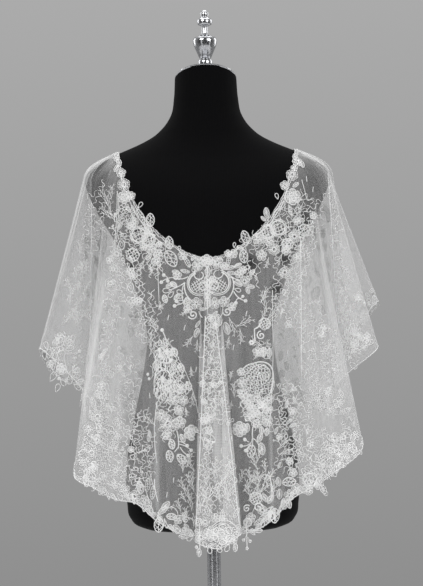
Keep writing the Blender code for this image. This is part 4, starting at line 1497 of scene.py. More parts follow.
        Kind.CORAL: ((-213, 797, 26.5, 12), (-205, 905, 24.5, 8), (-202, 874, 17)),
    },
    "hem_lace_wing_right": {
        Kind.EYELET: ((245, 753, 8.5), (236, 761, 5.5)),
        Kind.BLOSSOM: ((248, 759, 6), (243, 742, 5.5), (236, 819, 7), (247, 813, 6)),
        Kind.LOOP: ((252, 749, 14, -60), (215, 711, 17, -176), (224, 714, 15.5, -125), (253, 805, 9.5, -140),
            (255, 816, 7.5, -110), (214, 731, 14), (233, 736, 12.5, 60)),
        Kind.WHEEL: ((228, 748, 7.5),),
        Kind.CURL: ((223, 737, 7),),
        Kind.FEATHER: ((219, 765, 24.5, -20), (229, 769, 23, -8)),
        Kind.NET_DISC: ((212, 754, 9.5),),
        Kind.CORAL: ((209, 787, 21.5, -8), (199, 841, 18.5), (209, 799, 15.5, 20)),
        Kind.DOT: ((255, 811, 2.5), (220, 726, 3)),
    },
    "wing_left": {
        Kind.BLOSSOM: ((-166, 673, 8.5, 10), (-154, 654, 7.5), (-191, 625, 8.5), (-159, 621, 9.5, 20),
            (-153, 597, 8.5), (-170, 691, 7)),
        Kind.EYELET: ((-177, 643, 10), (-178, 606, 9.5)),
        Kind.LEAF: ((-184, 664, 20, 20), (-166, 657, 18.5, -50), (-163, 637, 20, 140), (-146, 634, 18.5, 20),
            (-148, 610, 18.5, -20), (-186, 645, 17, -160), (-167, 598, 18.5, 60)),
        Kind.NET_LEAF: ((-174, 625, 17, 30),),
    },
    "wing_right": {
        Kind.BLOSSOM: ((165, 665, 8.5), (182, 673, 8.5, 10), (198, 658, 8.5)),
        Kind.EYELET: ((173, 654, 7.5),),
        Kind.LEAF: ((188, 649, 18.5, -50), (208, 646, 18.5, -60), (156, 676, 17, 40), (202, 672, 15.5, 30)),
    },
    "gore": {
        Kind.OVAL: ((-1, 775, 4.5), (3, 752, 4.5), (-2, 728, 4.5), (5, 707, 4.5), (-3, 682, 4.5),
            (9, 669, 5.5), (-2, 651, 5.5)),
        Kind.BLOSSOM: ((2, 793, 5.5), (3, 691, 6)),
        Kind.LOOP: ((-3, 623, 14, 170), (1, 609, 12.5, -160), (-9, 603, 15.5, -180), (-7, 642, 12.5, 30)),
        Kind.CORAL: ((-6, 596, 21.5), (2, 558, 28, 10), (15, 546, 28, -20), (28, 532, 28, -30),
            (-10, 549, 24.5, -5), (7, 524, 24.5, 15), (24, 564, 21.5, -10), (-12, 520, 21.5, 10)),
    },
}

# Bowed cords: x and height of both ends, how far the middle stands to the left, and width, in mm
ARCS_ON_BACK = {
    "back_medallion": ((-38, 848, -26, 819, -4.5, 2), (-40, 845, -38, 811, -3, 1.5),
        (36, 856, 27, 821, 6, 2), (38, 834, 56, 819, -3, 1.8), (45, 823, 41, 816, -1.5, 1.5),
        (44, 823, 52, 826, -1.5, 1.3), (-32, 858, -56, 857, 3, 1.7), (-56, 857, -73, 851, -1.5, 1.5),
        (-63, 856, -69, 861, 0, 1.3), (-37, 849, -63, 837, 1, 1.7), (27, 869, 49, 878, -1, 1.5),
        (29, 862, 48, 850, -1.5, 1.7), (32, 856, 48, 851, 0, 1.5), (-42, 817, -54, 813, 0, 1.5),
        (-46, 817, -50, 820, 0, 1.3), (-16, 804, -11, 794, -1, 1.5), (19, 813, 15, 793, 3, 1.3),
        (-3, 871, -3, 801, 0, 1.4)),
    "side_applique_left": ((-74, 776, -67, 751, 1.5, 1.8), (-61, 751, -20, 648, 6, 0.9),
        (-83, 715, -83, 670, -4.5, 1.7), (-83, 666, -85, 572, -4, 1.5), (-54, 621, -52, 593, 1.5, 1.8),
        (-52, 604, -38, 597, 1.5, 1.5), (-51, 600, -32, 590, 1.5, 1.5), (-49, 595, -37, 582, -1.5, 1.5),
        (-82, 708, -69, 714, 3, 1.7), (-69, 714, -52, 689, 2.5, 1.5), (-52, 595, -58, 588, 0, 1.5)),
    "side_applique_right": ((80, 790, 69, 775, 3, 2.2), (69, 775, 69, 753, 0, 2), (48, 710, 67, 722, 3, 2),
        (67, 722, 81, 724, 1, 2.4), (81, 724, 96, 708, 4, 2.4), (96, 708, 90, 674, 3, 2.2),
        (74, 712, 83, 718, 2.5, 1.6), (83, 718, 91, 702, 4, 1.6), (78, 721, 51, 701, -3, 1.2),
        (76, 718, 54, 690, -3, 1.2), (76, 715, 60, 679, -3, 1.2), (75, 709, 69, 676, -1.5, 1.2),
        (75, 709, 79, 674, 1.5, 1.2), (66, 630, 63, 607, -1.5, 2), (63, 607, 52, 589, 1.5, 1.6),
        (59, 599, 46, 595, 1.5, 1.5), (57, 601, 51, 605, 0, 1.3), (64, 607, 73, 594, 1.5, 1.6),
        (64, 607, 62, 594, 0, 1.5)),
    "hem_lace_gore": ((-6, 472, 39, 469, 15.5, 2), (-1, 474, 30, 471, 8.5, 1.6), (47, 465, 69, 466, 0, 1.8),
        (51, 482, 51, 437, 0, 2.2), (51, 458, 46, 451, 0, 1.5), (51, 457, 56, 450, 0, 1.5),
        (-21, 480, -21, 443, 0, 1.8)),
    "hem_lace_back_left": ((-65, 505, -54, 491, 3, 1.5), (-54, 491, -30, 483, 1.5, 1.3),
        (-54, 491, -27, 481, -1.5, 1.2), (-89, 548, -84, 513, -1.5, 1.6), (-96, 560, -86, 526, -1.5, 1.3),
        (-103, 532, -97, 509, 0, 1.5), (-27, 466, -52, 465, 0, 1.4)),
    "hem_lace_back_right": ((90, 502, 67, 472, 1.5, 1.8), (94, 498, 75, 477, 1.5, 1.6),
        (83, 551, 60, 492, 1.5, 1.3), (77, 551, 54, 511, 1.5, 1.2), (89, 551, 90, 518, 0, 1.2),
        (86, 551, 93, 520, 1.5, 1.2), (185, 583, 204, 567, 3, 1.4), (163, 559, 182, 540, 3, 1.5)),
    "neck_lace_back_left": ((-125, 989, -104, 945, -2.5, 1.5), (-104, 945, -67, 907, -2.5, 1.5),
        (-79, 870, -78, 820, 0, 1.3), (-79, 881, -79, 869, 0, 1.3), (-97, 882, -87, 868, 0, 1.3),
        (-138, 1025, -129, 990, 0, 1.2)),
    "neck_lace_back_right": ((124, 992, 105, 952, 3, 1.5), (105, 952, 69, 919, 4.5, 1.5),
        (148, 1007, 155, 978, 0, 1.3), (125, 998, 128, 1012, 0, 1.3)),
    "hem_lace_wing_left": ((-229, 743, -223, 706, -3, 1.6), (-237, 748, -238, 729, -3, 1.5),
        (-228, 740, -212, 739, 1.5, 1.6), (-212, 739, -205, 744, 0, 1.4), (-232, 748, -235, 757, 0, 1.2),
        (-217, 721, -207, 710, -4.5, 1.6)),
    "hem_lace_wing_right": ((220, 749, 220, 731, 4.5, 1.6), (220, 731, 233, 740, 3, 1.6),
        (222, 752, 216, 725, 4.5, 1.3), (228, 775, 227, 752, -1.5, 1.4)),
    "back_left": ((-141, 994, -148, 901, 1.5, 1.6), (-139, 984, -150, 883, 3, 1.3),
        (-119, 880, -120, 867, 3, 1.3), (-120, 867, -111, 854, -3, 1.3), (-111, 854, -110, 848, -4.5, 1.3),
        (-183, 979, -187, 770, 0, 1.4)),
    "back_right": ((144, 918, 140, 695, 0, 1.6), (98, 835, 97, 750, 0, 1.4), (97, 750, 88, 614, 1.5, 1.3),
        (191, 1019, 202, 764, 0, 1.1)),
}

# Areas of small lace: what fills each, its spacing, and its corners in x and height, in mm
AREAS = {
    "neck_lace_back_left": (
        (Ground.VERMICELLI, 10, ((-123, 966), (-104, 950), (-79, 918), (-63, 906), (-63, 896), (-78, 894),
            (-106, 900), (-124, 904), (-140, 916), (-142, 955))),
        (Ground.UPRIGHT, 9, ((-106, 897), (-66, 893), (-76, 863), (-97, 866))),
    ),
    "neck_lace_back_right": (
        (Ground.VERMICELLI, 10, ((130, 966), (115, 961), (93, 934), (71, 916), (73, 900), (98, 894),
            (126, 896), (145, 911), (152, 951))),
        (Ground.VERMICELLI, 11, ((40, 909), (71, 916), (76, 897), (42, 888))),
        (Ground.UPRIGHT, 10, ((56, 873), (82, 878), (82, 848), (59, 851))),
    ),
    "back_medallion": (
        (Ground.VERMICELLI, 10, ((-26, 880), (27, 883), (26, 867), (8, 864), (6, 821), (-5, 821), (-6, 865),
            (-26, 868))),
    ),
    "side_applique_left": (
        (Ground.UPRIGHT, 8, ((-81, 761), (-62, 753), (-44, 701), (-39, 673), (-82, 659), (-88, 684),
            (-86, 739))),
        (Ground.VERMICELLI, 12, ((-82, 662), (-39, 670), (-43, 630), (-65, 610), (-83, 615))),
    ),
    "side_applique_right": (
        (Ground.MESH, 4.1, ((50, 711), (58, 718), (67, 722), (80, 722), (87, 718), (92, 702), (85, 674),
            (63, 676), (50, 690))),
        (Ground.VERMICELLI, 10, ((69, 761), (89, 755), (98, 730), (80, 727), (67, 740))),
        (Ground.VERMICELLI, 8.5, ((42, 697), (60, 672), (94, 677), (93, 628), (72, 619), (52, 635),
            (45, 666))),
    ),
    "gore": (
        (Ground.VERMICELLI, 8, ((-7, 790), (10, 790), (18, 713), (24, 646), (7, 636), (-1, 629), (0, 589),
            (-16, 559), (-15, 636), (-10, 752))),
        (Ground.UPRIGHT, 10, ((-19, 580), (0, 571), (21, 580), (38, 570), (42, 503), (-23, 505))),
        (Ground.CORALS, 26, ((-19, 559), (36, 558), (39, 511), (-23, 509))),
        (Ground.VERMICELLI, 13, ((-23, 505), (40, 504), (44, 483), (-22, 485))),
    ),
    "back_left": (
        (Ground.UPRIGHT, 10, ((-120, 882), (-111, 882), (-101, 846), (-79, 823), (-72, 788), (-81, 753),
            (-93, 761), (-99, 795), (-110, 829))),
        (Ground.VERMICELLI, 11, ((-142, 984), (-133, 929), (-120, 882), (-106, 823), (-94, 764), (-99, 743),
            (-117, 777), (-132, 823), (-145, 774), (-164, 759), (-170, 778), (-159, 846), (-151, 910),
            (-146, 969))),
        (Ground.VERMICELLI, 10, ((-173, 756), (-155, 762), (-153, 669), (-166, 623), (-185, 623),
            (-181, 688))),
        (Ground.VERMICELLI, 13, ((-152, 759), (-133, 746), (-109, 743), (-113, 681), (-126, 622),
            (-160, 623), (-150, 685))),
        (Ground.VERMICELLI, 9, ((-191, 624), (-129, 622), (-132, 561), (-137, 524), (-165, 536), (-180, 534),
            (-209, 562), (-204, 590))),
        (Ground.VERMICELLI, 9, ((-124, 650), (-92, 650), (-90, 594), (-94, 551), (-103, 526), (-122, 523),
            (-130, 561), (-130, 613))),
        (Ground.CORALS, 20, ((-107, 823), (-83, 795), (-81, 742), (-94, 674), (-99, 743), (-94, 776))),
        (Ground.CORALS, 18, ((-52, 580), (-32, 575), (-30, 500), (-48, 486), (-58, 520))),
    ),
    "back_right": (
        (Ground.VERMICELLI, 11, ((143, 989), (177, 979), (183, 951), (169, 911), (160, 877), (149, 819),
            (139, 772), (127, 763), (118, 791), (102, 792), (97, 826), (105, 878), (123, 903), (136, 933))),
        (Ground.VERMICELLI, 12, ((146, 812), (165, 818), (192, 771), (203, 706), (190, 676), (165, 670),
            (144, 707), (139, 757))),
        (Ground.VERMICELLI, 9, ((101, 696), (132, 689), (137, 633), (135, 559), (120, 547), (98, 563),
            (96, 619))),
        (Ground.VERMICELLI, 10, ((137, 670), (159, 667), (158, 617), (189, 611), (217, 632), (226, 595),
            (194, 561), (163, 534), (135, 528), (135, 602))),
        (Ground.CORALS, 20, ((82, 857), (103, 819), (102, 773), (89, 727), (80, 773))),
        (Ground.CORALS, 17, ((44, 582), (80, 588), (96, 560), (91, 508), (54, 508))),
    ),
    "wing_left": (
        (Ground.VERMICELLI, 11, ((-254, 748), (-241, 767), (-229, 770), (-232, 745), (-227, 708),
            (-214, 717), (-202, 692), (-218, 692), (-236, 695), (-248, 714))),
        (Ground.VERMICELLI, 14, ((-178, 1007), (-166, 1016), (-161, 932), (-171, 898), (-196, 883),
            (-205, 918), (-191, 970))),
        (Ground.CORALS, 16, ((-221, 871), (-187, 883), (-188, 794), (-213, 779), (-232, 785))),
    ),
    "wing_right": (
        (Ground.VERMICELLI, 13, ((216, 762), (232, 765), (253, 758), (253, 746), (234, 724), (219, 715),
            (210, 737))),
        (Ground.VERMICELLI, 10, ((224, 823), (248, 826), (257, 812), (248, 804), (229, 808))),
        (Ground.VERMICELLI, 14, ((190, 1010), (201, 972), (219, 910), (227, 848), (211, 817), (197, 876),
            (189, 951))),
        (Ground.CORALS, 13, ((193, 818), (220, 817), (220, 768), (204, 756))),
    ),
}

# Places of the woven dashes, x and height in mm
DASHES = ((-16, 741), (-23, 710), (35, 743), (56, 795), (-65, 791), (-40, 775), (-94, 671), (-60, 541),
          (-71, 519), (31, 604), (103, 819), (156, 1004), (165, 988), (120, 733), (14, 586), (22, 604))


@dataclass
class BackRelief:
    """Outermost surface of the back, as y over a fine net of cells in x and height.

    Lace that is laid on it bridges the pleats, as appliques do.
    """

    cloth: ShawlCloth
    cell: float = 1.6 * MM
    low: tuple[float, float] = (-0.31, 0.39)
    high: tuple[float, float] = (0.31, 1.09)
    fine: tuple[int, int] = (3, 6)   # samples between two columns and between two rows
    spread: int = 26                 # cells by which the relief runs on past the cloth's edge
    back: tuple[float, float] = (11.2, 22.8)    # last and first rib of the cloth's back half
    neck_from: float = 0.86          # height from which the torso's neck counts too
    torso_span: tuple[float, float] = (0.01, 0.70)    # heights over the datum that it is read at
    relief: Array = field(init=False)
    slope: Sequence[Array] = field(init=False)

    def __post_init__(self) -> None:
        """Sample the cloth and the torso's neck, and keep the lowest y in each cell.

        Only cloth of the back half that faces backwards counts. Past its edges the relief hangs
        straight down, and elsewhere each cell takes the mean of those round it.
        """
        grid = np.concatenate([self.cloth.grid, self.cloth.grid[:1]])
        for axis, count in enumerate(self.fine):
            share = np.arange(count) / count
            grid = np.moveaxis(grid, axis, 0)
            blend = share[None, :, None, None]
            grid = grid[:-1, None] * (1 - blend) + grid[1:, None] * blend
            grid = np.moveaxis(grid.reshape(-1, *grid.shape[2:]), 0, axis)
        column = np.arange(len(grid)) / self.fine[0]
        last, first = [self.cloth.column_of(rib) for rib in self.back]
        facing = np.cross(np.gradient(grid, axis=0), np.gradient(grid, axis=1))[..., 1] < 0
        points = grid[facing & ((column < last) | (column > first))[:, None]]
        size = [round((b - a) / self.cell) + 1 for a, b in zip(self.low, self.high)]
        place = [np.round((points[:, axis] - start) / self.cell).astype(int)
                 for axis, start in zip((0, 2), self.low)]
        relief = np.full(size, np.inf)
        np.minimum.at(relief, tuple(place), points[:, 1])
        form = self.cloth.form
        x = self.low[0] + np.arange(size[0])[:, None] * self.cell
        z = self.low[1] + np.arange(size[1])[None, :] * self.cell
        height = np.clip(z[0] - form.datum, *self.torso_span)
        torso = np.stack([form.depth(x[:, 0], np.full(size[0], h), -1) for h in height], axis=1)
        neck = (z > self.neck_from) & (np.abs(x) < form.section(height)[0])
        relief = np.where(neck, np.minimum(relief, torso - self.cloth.edge_lift), relief)
        for _ in range(self.spread):
            above = np.pad(relief[:, 1:], ((0, 0), (0, 1)), constant_values=np.inf)
            relief = np.where(np.isfinite(relief), relief, above)
        for _ in range(self.spread):
            padded = np.pad(relief, 1, constant_values=np.inf)
            around = np.stack([padded[1 + i:padded.shape[0] - 1 + i, 1 + j:padded.shape[1] - 1 + j]
                               for i in (-1, 0, 1) for j in (-1, 0, 1)])
            known = np.isfinite(around)
            mean = np.where(known, around, 0).sum(axis=0) / np.maximum(known.sum(axis=0), 1)
            relief = np.where(np.isfinite(relief) | (known.sum(axis=0) == 0), relief, mean)
        self.relief = np.where(np.isfinite(relief), relief, 0.0)
        self.slope = np.gradient(self.relief, self.cell)

    def read(self, x: Array, z: Array) -> tuple[Array, Array]:
        """Find points and outward normals on the relief.

        Between cells the relief is bilinear. Its normal leans by the relief's slopes, which are
        held under two.

        Args:
            x: Places across.
            z: Heights.

        Returns:
            Points and normals, n x 3 each.
        """
        at = [np.clip((v - start) / self.cell, 0, count - 1.001)
              for v, start, count in zip((x, z), self.low, self.relief.shape)]
        i, j = [v.astype(int) for v in at]
        f, g = at[0] - i, at[1] - j

        def blend(table: Array) -> Array:
            """Bilinear value of a table of cells."""
            return ((table[i, j] * (1 - f) + table[i + 1, j] * f) * (1 - g)
                    + (table[i, j + 1] * (1 - f) + table[i + 1, j + 1] * f) * g)

        lean = [np.clip(blend(slope), -2, 2) for slope in self.slope]
        normals = unit(np.stack([lean[0], -np.ones_like(f), lean[1]], axis=1))
        return np.stack([x, blend(self.relief), z], axis=1), normals


@dataclass
class LacePiece:
    """Lace that is gathered motif by motif and made into one mesh."""

    cloth: ShawlCloth
    relief: BackRelief
    name: str
    nodes: tuple[str, ...] = ()
    lift: float = 0.45 * MM          # underside of the cords over the cloth's middle
    ridge_share: float = 0.55        # height of a cord's ridge over its width
    ridge_limit: float = 0.8 * MM
    stretch_limit: float = 6.0       # longest step on the relief over its drawn length
    pad_foot: float = 0.30 * MM      # height of a pad's underside, rim and middle over the cloth
    pad_rim: float = 0.37 * MM
    pad_middle: float = 0.77 * MM
    routes: list[Array] = field(default_factory=list)      # column or -1, distance, x, y
    widths: list[Array] = field(default_factory=list)
    closed: list[bool] = field(default_factory=list)
    pads: list[Array] = field(default_factory=list)

    def gather(self, motif: Motif, anchor: tuple[float, float]) -> None:
        """Add a motif whose points are offsets in mm from an anchor on the cloth or the relief.

        Args:
            motif: The motif, placed and turned.
            anchor: Column and distance from the neckline, or column -1 for the relief.
        """
        for cord in motif.cords:
            head = np.tile(anchor, (len(cord.route), 1))
            self.routes.append(np.hstack([head, cord.route * MM]))
            width = (cord.width + cord.share) * MM
            self.widths.append(width * np.linspace(1, cord.swell, len(cord.route)))
            self.closed.append(cord.closed)
        for pad in motif.pads:
            outline = np.vstack([pad, pad.mean(axis=0)])
            self.pads.append(np.hstack([np.tile(anchor, (len(outline), 1)), outline * MM]))

    def on_relief(self, motif: Motif, x: float = 0.0, z: float = 0.0, size: float = 1.0,
                  turn: float = 0.0) -> None:
        """Add a motif to the back at x and height, in mm."""
        self.gather(motif.put(x, z, turn, size), (-1.0, 0.0))

    def on_cloth(self, motif: Motif, column: float, distance: float) -> None:
        """Add a motif round a column and a distance from the neckline in metres."""
        self.gather(motif, (column % len(self.cloth.grid), distance))

    def lay(self, spots: Array) -> tuple[Array, Array]:
        """Find the points and normals of gathered spots.

        Args:
            spots: Rows of column, distance, x and y.

        Returns:
            Points and normals, n x 3 each.
        """
        points, normals = np.empty((len(spots), 3)), np.empty((len(spots), 3))
        flat = spots[:, 0] < 0
        if flat.any():
            points[flat], normals[flat] = self.relief.read(spots[flat, 2], spots[flat, 3])
        if (~flat).any():
            column, distance, x, y = spots[~flat].T
            points[~flat], normals[~flat] = self.cloth.read(column, distance, x, y)
        return points, normals

    def build(self, finishes: Sequence[Material]) -> None:
        """Make the piece from its whole cords and pads, and hide the CAD nodes that it stands for.

        Args:
            finishes: Finish of the cords and finish of the pads.
        """
        whole = self.whole(self.routes)
        self.routes, self.widths, self.closed = [
            list(compress(rows, whole)) for rows in (self.routes, self.widths, self.closed)]
        self.pads = list(compress(self.pads, self.whole(self.pads)))
        (cords, sides), (pads, domes) = self.cord_mesh(), self.pad_mesh()
        piece = make_piece(self.name, np.concatenate([cords, pads]),
                           np.concatenate([sides, domes + len(cords)]), finishes[0])
        piece.data.materials.append(finishes[1])
        stitch = np.repeat(np.arange(2, dtype=np.int32), (len(sides), len(domes)))
        piece.data.polygons.foreach_set("material_index", stitch)
        ride(piece, "corded_lace", *self.nodes)

    def whole(self, shapes: Sequence[Array]) -> Array:
        """Tell which cords or pads have no step that the relief tears out of length.

        Args:
            shapes: Rows of column, distance, x and y for each cord or pad.

        Returns:
            Whether each is whole.
        """
        if not shapes:
            return np.empty(0, dtype=bool)
        drawn = np.concatenate(shapes)
        laid = self.lay(drawn)[0]
        step, flat = [np.linalg.norm(np.diff(v, axis=0), axis=1) for v in (laid, drawn[:, 2:])]
        torn = np.append((step > self.stretch_limit * flat) & (drawn[1:, 0] < 0), False)
        ends = np.cumsum([len(shape) for shape in shapes])
        torn[ends - 1] = False
        return ~np.logical_or.reduceat(torn, np.append(0, ends[:-1]))

    def cord_mesh(self) -> tuple[Array, Array]:
        """Make all cords at once, each with a flat underside and a raised ridge.

        At every point of a route, two corners lie beside it, square to the route and to the
        cloth's normal, and a third stands over it. The corners of neighbouring points join into
        three sides, and a triangle closes each open end.

        Returns:
            Points, n x 3, and triangles, m x 3.
        """
        counts = np.array([len(route) for route in self.routes])
        middle, normal = self.lay(np.concatenate(self.routes))
        width = np.concatenate(self.widths)[:, None]
        start = np.cumsum(counts) - counts
        number = np.arange(len(middle))
        loop = np.repeat(np.array(self.closed), counts)
        first, last = np.repeat(start, counts), np.repeat(start + counts - 1, counts)
        after = np.where(number < last, number + 1, np.where(loop, first, number))
        before = np.where(number > first, number - 1, np.where(loop, last, number))
        side = unit(np.cross(middle[after] - middle[before], normal)) * width / 2
        base = middle + normal * self.lift
        ridge = np.minimum(width * self.ridge_share, self.ridge_limit)
        corners = np.stack([base - side, base + side, base + normal * ridge], axis=1)
        go = number[after != number]
        a, b = go * 3, after[go] * 3
        sides = [np.stack(t, axis=1) for p, q in ((0, 1), (1, 2), (2, 0))
                 for t in ((a + p, b + q, a + q), (a + p, b + p, b + q))]
        tips = number[after == number] * 3
        roots = number[before == number] * 3
        caps = [np.stack([tips, tips + 2, tips + 1], axis=1),
                np.stack([roots, roots + 1, roots + 2], axis=1)]
        return corners.reshape(-1, 3), np.concatenate(sides + caps)

    def pad_mesh(self) -> tuple[Array, Array]:
        """Make all pads at once, each a low closed dome over its outline.

        Returns:
            Points, n x 3, and triangles, m x 3.
        """
        if not self.pads:
            return np.empty((0, 3)), np.empty((0, 3), dtype=int)
        counts = np.array([len(pad) for pad in self.pads])
        middle, normal = self.lay(np.concatenate(self.pads))
        start = np.cumsum(counts) - counts
        number = np.arange(len(middle))
        heart = np.repeat(start + counts - 1, counts)
        first = np.repeat(start, counts)
        rim = number[number < heart]
        after = np.where(rim + 1 < heart[rim], rim + 1, first[rim])
        rise = np.where(number == heart, self.pad_middle, self.pad_rim)[:, None]
        foot = (middle + normal * self.pad_foot)[start + counts - 1]
        order = np.repeat(np.arange(len(counts)), counts)
        upper = np.stack([rim, after, heart[rim]], axis=1)
        lower = np.stack([after, rim, len(middle) + order[rim]], axis=1)
        return np.concatenate([middle + normal * rise, foot]), np.concatenate([upper, lower])


@dataclass
class CordedLace:
    """All the lace: what lies on the back motif by motif, and what runs round by rule."""

    cloth: ShawlCloth
    seed: int = 41
    neck_edge: float = 0.8 * MM      # distance of the edge cord from the neckline
    neck_inner: float = 5.6 * MM     # distance of the second cord
    neck_cords: tuple[float, float] = (1.9, 1.2)      # their widths in mm
    rung_pitch: float = 5.2 * MM     # spacing of the rungs between the two
    hem_pitch: float = 11.5 * MM     # spacing of the motifs along the hem
    hem_rise: float = 2.2 * MM       # how much higher all of them stand
    upper_pitch: float = 13.0 * MM   # spacing of those in the row above
    hem_edge: float = 1.2 * MM       # distance of the hem's cord from the edge
    hem_cord: float = 1.4            # width in mm of that cord
    gore_cord: float = 1.8           # width in mm of the cords down the gore's edges
    dash: float = 8.5                # length in mm of a woven dash
    small_start: float = 0.006       # height of the first row of meanders over the hem
    small_step: float = 0.010        # spacing of their rows
    small_pitch: float = 0.012       # spacing along a row
    band_pitch: float = 0.019        # spacing of the motifs along the front of the neckline
    band_small: float = 0.011        # spacing of the small lace there
    band_step: float = 0.009         # spacing of its rows
    band_rows: int = 3
    jitter: float = 0.003            # how far small lace strays up or down
    meander_step: float = 2.1        # mm between two points of a meander
    front_ribs: tuple[float, float] = (11.5, 22.5)    # where the strewn lace starts and ends
    front_rows: int = 11
    front_pitch: float = 0.026       # spacing of the strewn motifs along a row
    front_small: float = 0.017       # spacing of the meanders between them
    front_jitter: float = 0.008      # how far both stray up or down
    relief: BackRelief = field(init=False)
    random: np.random.Generator = field(init=False)

    # first rib, last rib, the share of the stretch where the rows of motifs start and end, and
    # the height of the small lace over the hem
    HEM = {
        "hem_lace_gore": (-1, 1, 0, 1, 0),
        "hem_lace_back_left": (2.5, 8.5, 0, 1, 0),
        "hem_lace_wing_left": (8.5, 13, 0.52, 1, 0.022),
        "hem_lace_front_left": (13, 17, 0, 1, 0.030),
        "hem_lace_front_right": (17, 21, 0, 1, 0.030),
        "hem_lace_wing_right": (21, 26, 0, 0.52, 0.022),
        "hem_lace_back_right": (26.5, 32.5, 0, 1, 0),
    }

    # x and height of both ends of the gore's edge cords, in mm
    GORE_EDGES = (((-6.5, 796), (-26, 474)), ((8.2, 796), (40, 474)))

    # kind, height over the hem, turn and size in mm, along the hem in turn
    HEM_ROW = (
        (Kind.PAD_LEAF, 3, 118, 13.5), (Kind.LEAF, 3, 205, 13), (Kind.BLOSSOM, 5, 0, 6.8),
        (Kind.LOOP, 2, 140, 12), (Kind.PAD_LEAF, 3.5, 95, 12.5), (Kind.LOOP, 1.5, 225, 10.5),
        (Kind.EYELET, 5, 0, 5.8), (Kind.LEAF, 3, 160, 14), (Kind.PAD_LEAF, 2, 250, 12.5),
        (Kind.NET_LEAF, 4.5, 176, 16))
    # the same for the row above, where the hem has small lace
    UPPER_ROW = (
        (Kind.EYELET, 19, 0, 6.5), (Kind.LEAF, 18, 125, 17), (Kind.BLOSSOM, 17, 20, 6.5),
        (Kind.LEAF, 20, -60, 16), (Kind.OVAL, 19, 30, 5.5), (Kind.NET_DISC, 18, 0, 7.5),
        (Kind.SPRAY, 21, 70, 20))
    # kind, distance from the neckline, turn and size in mm, along the front of the neckline
    NECK_ROW = (
        (Kind.PEONY, 14, 0, 11), (Kind.NET_LEAF, 17, 60, 20), (Kind.BLOSSOM, 12, 20, 8),
        (Kind.WHEEL, 18, 0, 11.5), (Kind.PAD_LEAF, 10, -50, 14), (Kind.BLOSSOM, 21, 0, 7.5),
        (Kind.EYELET, 12, 0, 8), (Kind.NET_LEAF, 19, -70, 21), (Kind.CURL, 13, 40, 7))
    # kind and size in mm of the small motifs among the meanders, and of what is strewn over the front
    SMALL = ((Kind.BLOSSOM, 6), (Kind.SPRIG, 13), (Kind.LEAF, 13), (Kind.CORAL, 20), (Kind.LOOP, 8))
    STREWN = (
        (Kind.CORAL, 26), (Kind.BLOSSOM, 8.5), (Kind.SPRAY, 28), (Kind.LEAF, 20),
        (Kind.NET_LEAF, 20), (Kind.CORAL, 30), (Kind.LOOP, 13), (Kind.SPRIG, 20),
        (Kind.FEATHER, 24), (Kind.WHEEL, 10))

    def __post_init__(self) -> None:
        """Work out the back's relief and start the random draws."""
        self.relief = BackRelief(self.cloth)
        self.random = np.random.default_rng(self.seed)

    def build(self, finishes: Sequence[Material]) -> None:
        """Make every piece of lace.

        Args:
            finishes: Finish of the cords and finish of the pads.
        """
        pieces: dict[str, LacePiece] = {}
        for node in ("back_medallion", "side_applique_left", "side_applique_right",
                     "neck_lace_back_left", "neck_lace_front", "neck_lace_back_right", *self.HEM):
            pieces[node] = LacePiece(self.cloth, self.relief, "corded_" + node, (node,))
        for name in ("gore", "back_left", "back_right", "wing_left", "wing_right", "front"):
            pieces[name] = LacePiece(self.cloth, self.relief, "corded_ground_" + name)
        for name, kinds in MOTIFS_ON_BACK.items():
            for kind, rows in kinds.items():
                for row in rows:
                    pieces[name].on_relief(kind.value, *row)
        for name, arcs in ARCS_ON_BACK.items():
            for *ends, sagitta, width in arcs:
                pieces[name].on_relief(Motif((Cord(bow(ends[:2], ends[2:], sagitta), width),)))
        for name, areas in AREAS.items():
            for ground, pitch, outline in areas:
                self.fill_area(pieces[name], ground, pitch, np.array(outline, dtype=float))
        for x, z in DASHES:
            pieces["gore"].on_relief(Kind.DASH.value, x, z, self.dash, self.stray(12))
        for name, stretch in self.HEM.items():
            self.trim_hem(pieces[name], *stretch)
        for name, first, last in (("back_left", 0, 1), ("front", 1, 3), ("back_right", 3, 4)):
            self.trim_neck(pieces["neck_lace_" + name], first, last)
        self.band_front(pieces["neck_lace_front"])
        self.line_gore(pieces["gore"])
        self.strew_front(pieces["front"])
        for piece in pieces.values():
            piece.build(finishes)

    def stray(self, reach: float) -> float:
        """Draw a number up to reach on either side of nought."""
        return self.random.uniform(-reach, reach)

    def meander(self, upright: bool = False) -> Motif:
        """Draw a thin cord that meanders: its heading swings in a sine of the way along it.

        Args:
            upright: Whether it hangs straight down on the whole.

        Returns:
            The cord, round its middle.
        """
        step = self.meander_step
        way = np.arange(self.random.integers(10, 19)) * step
        swing = np.sin(2 * math.pi * way / self.random.uniform(14, 24) + self.random.uniform(0, 6.3))
        lean = 0.25 if upright else 0.55
        heading = (-math.pi / 2 + self.random.normal(0, lean)
                   + swing * self.random.uniform(0.9, 1.2 if upright else 1.6))
        route = np.cumsum(np.stack([np.cos(heading), np.sin(heading)], axis=1) * step, axis=0)
        return Motif((Cord(route - route.mean(axis=0), self.random.uniform(0.9, 1.3), swell=0.8),))

    def small_motif(self, plain: float = 0.86) -> Motif:
        """Draw a meander, or now and then a small blossom, leaf or sprig.

        Args:
            plain: Share of meanders.

        Returns:
            The motif, with its points in mm.
        """
        if self.random.random() < plain:
            return self.meander()
        kind, size = self.SMALL[self.random.integers(len(self.SMALL))]
        return kind.value.put(turn=self.stray(60), size=size * self.random.uniform(0.8, 1.2))

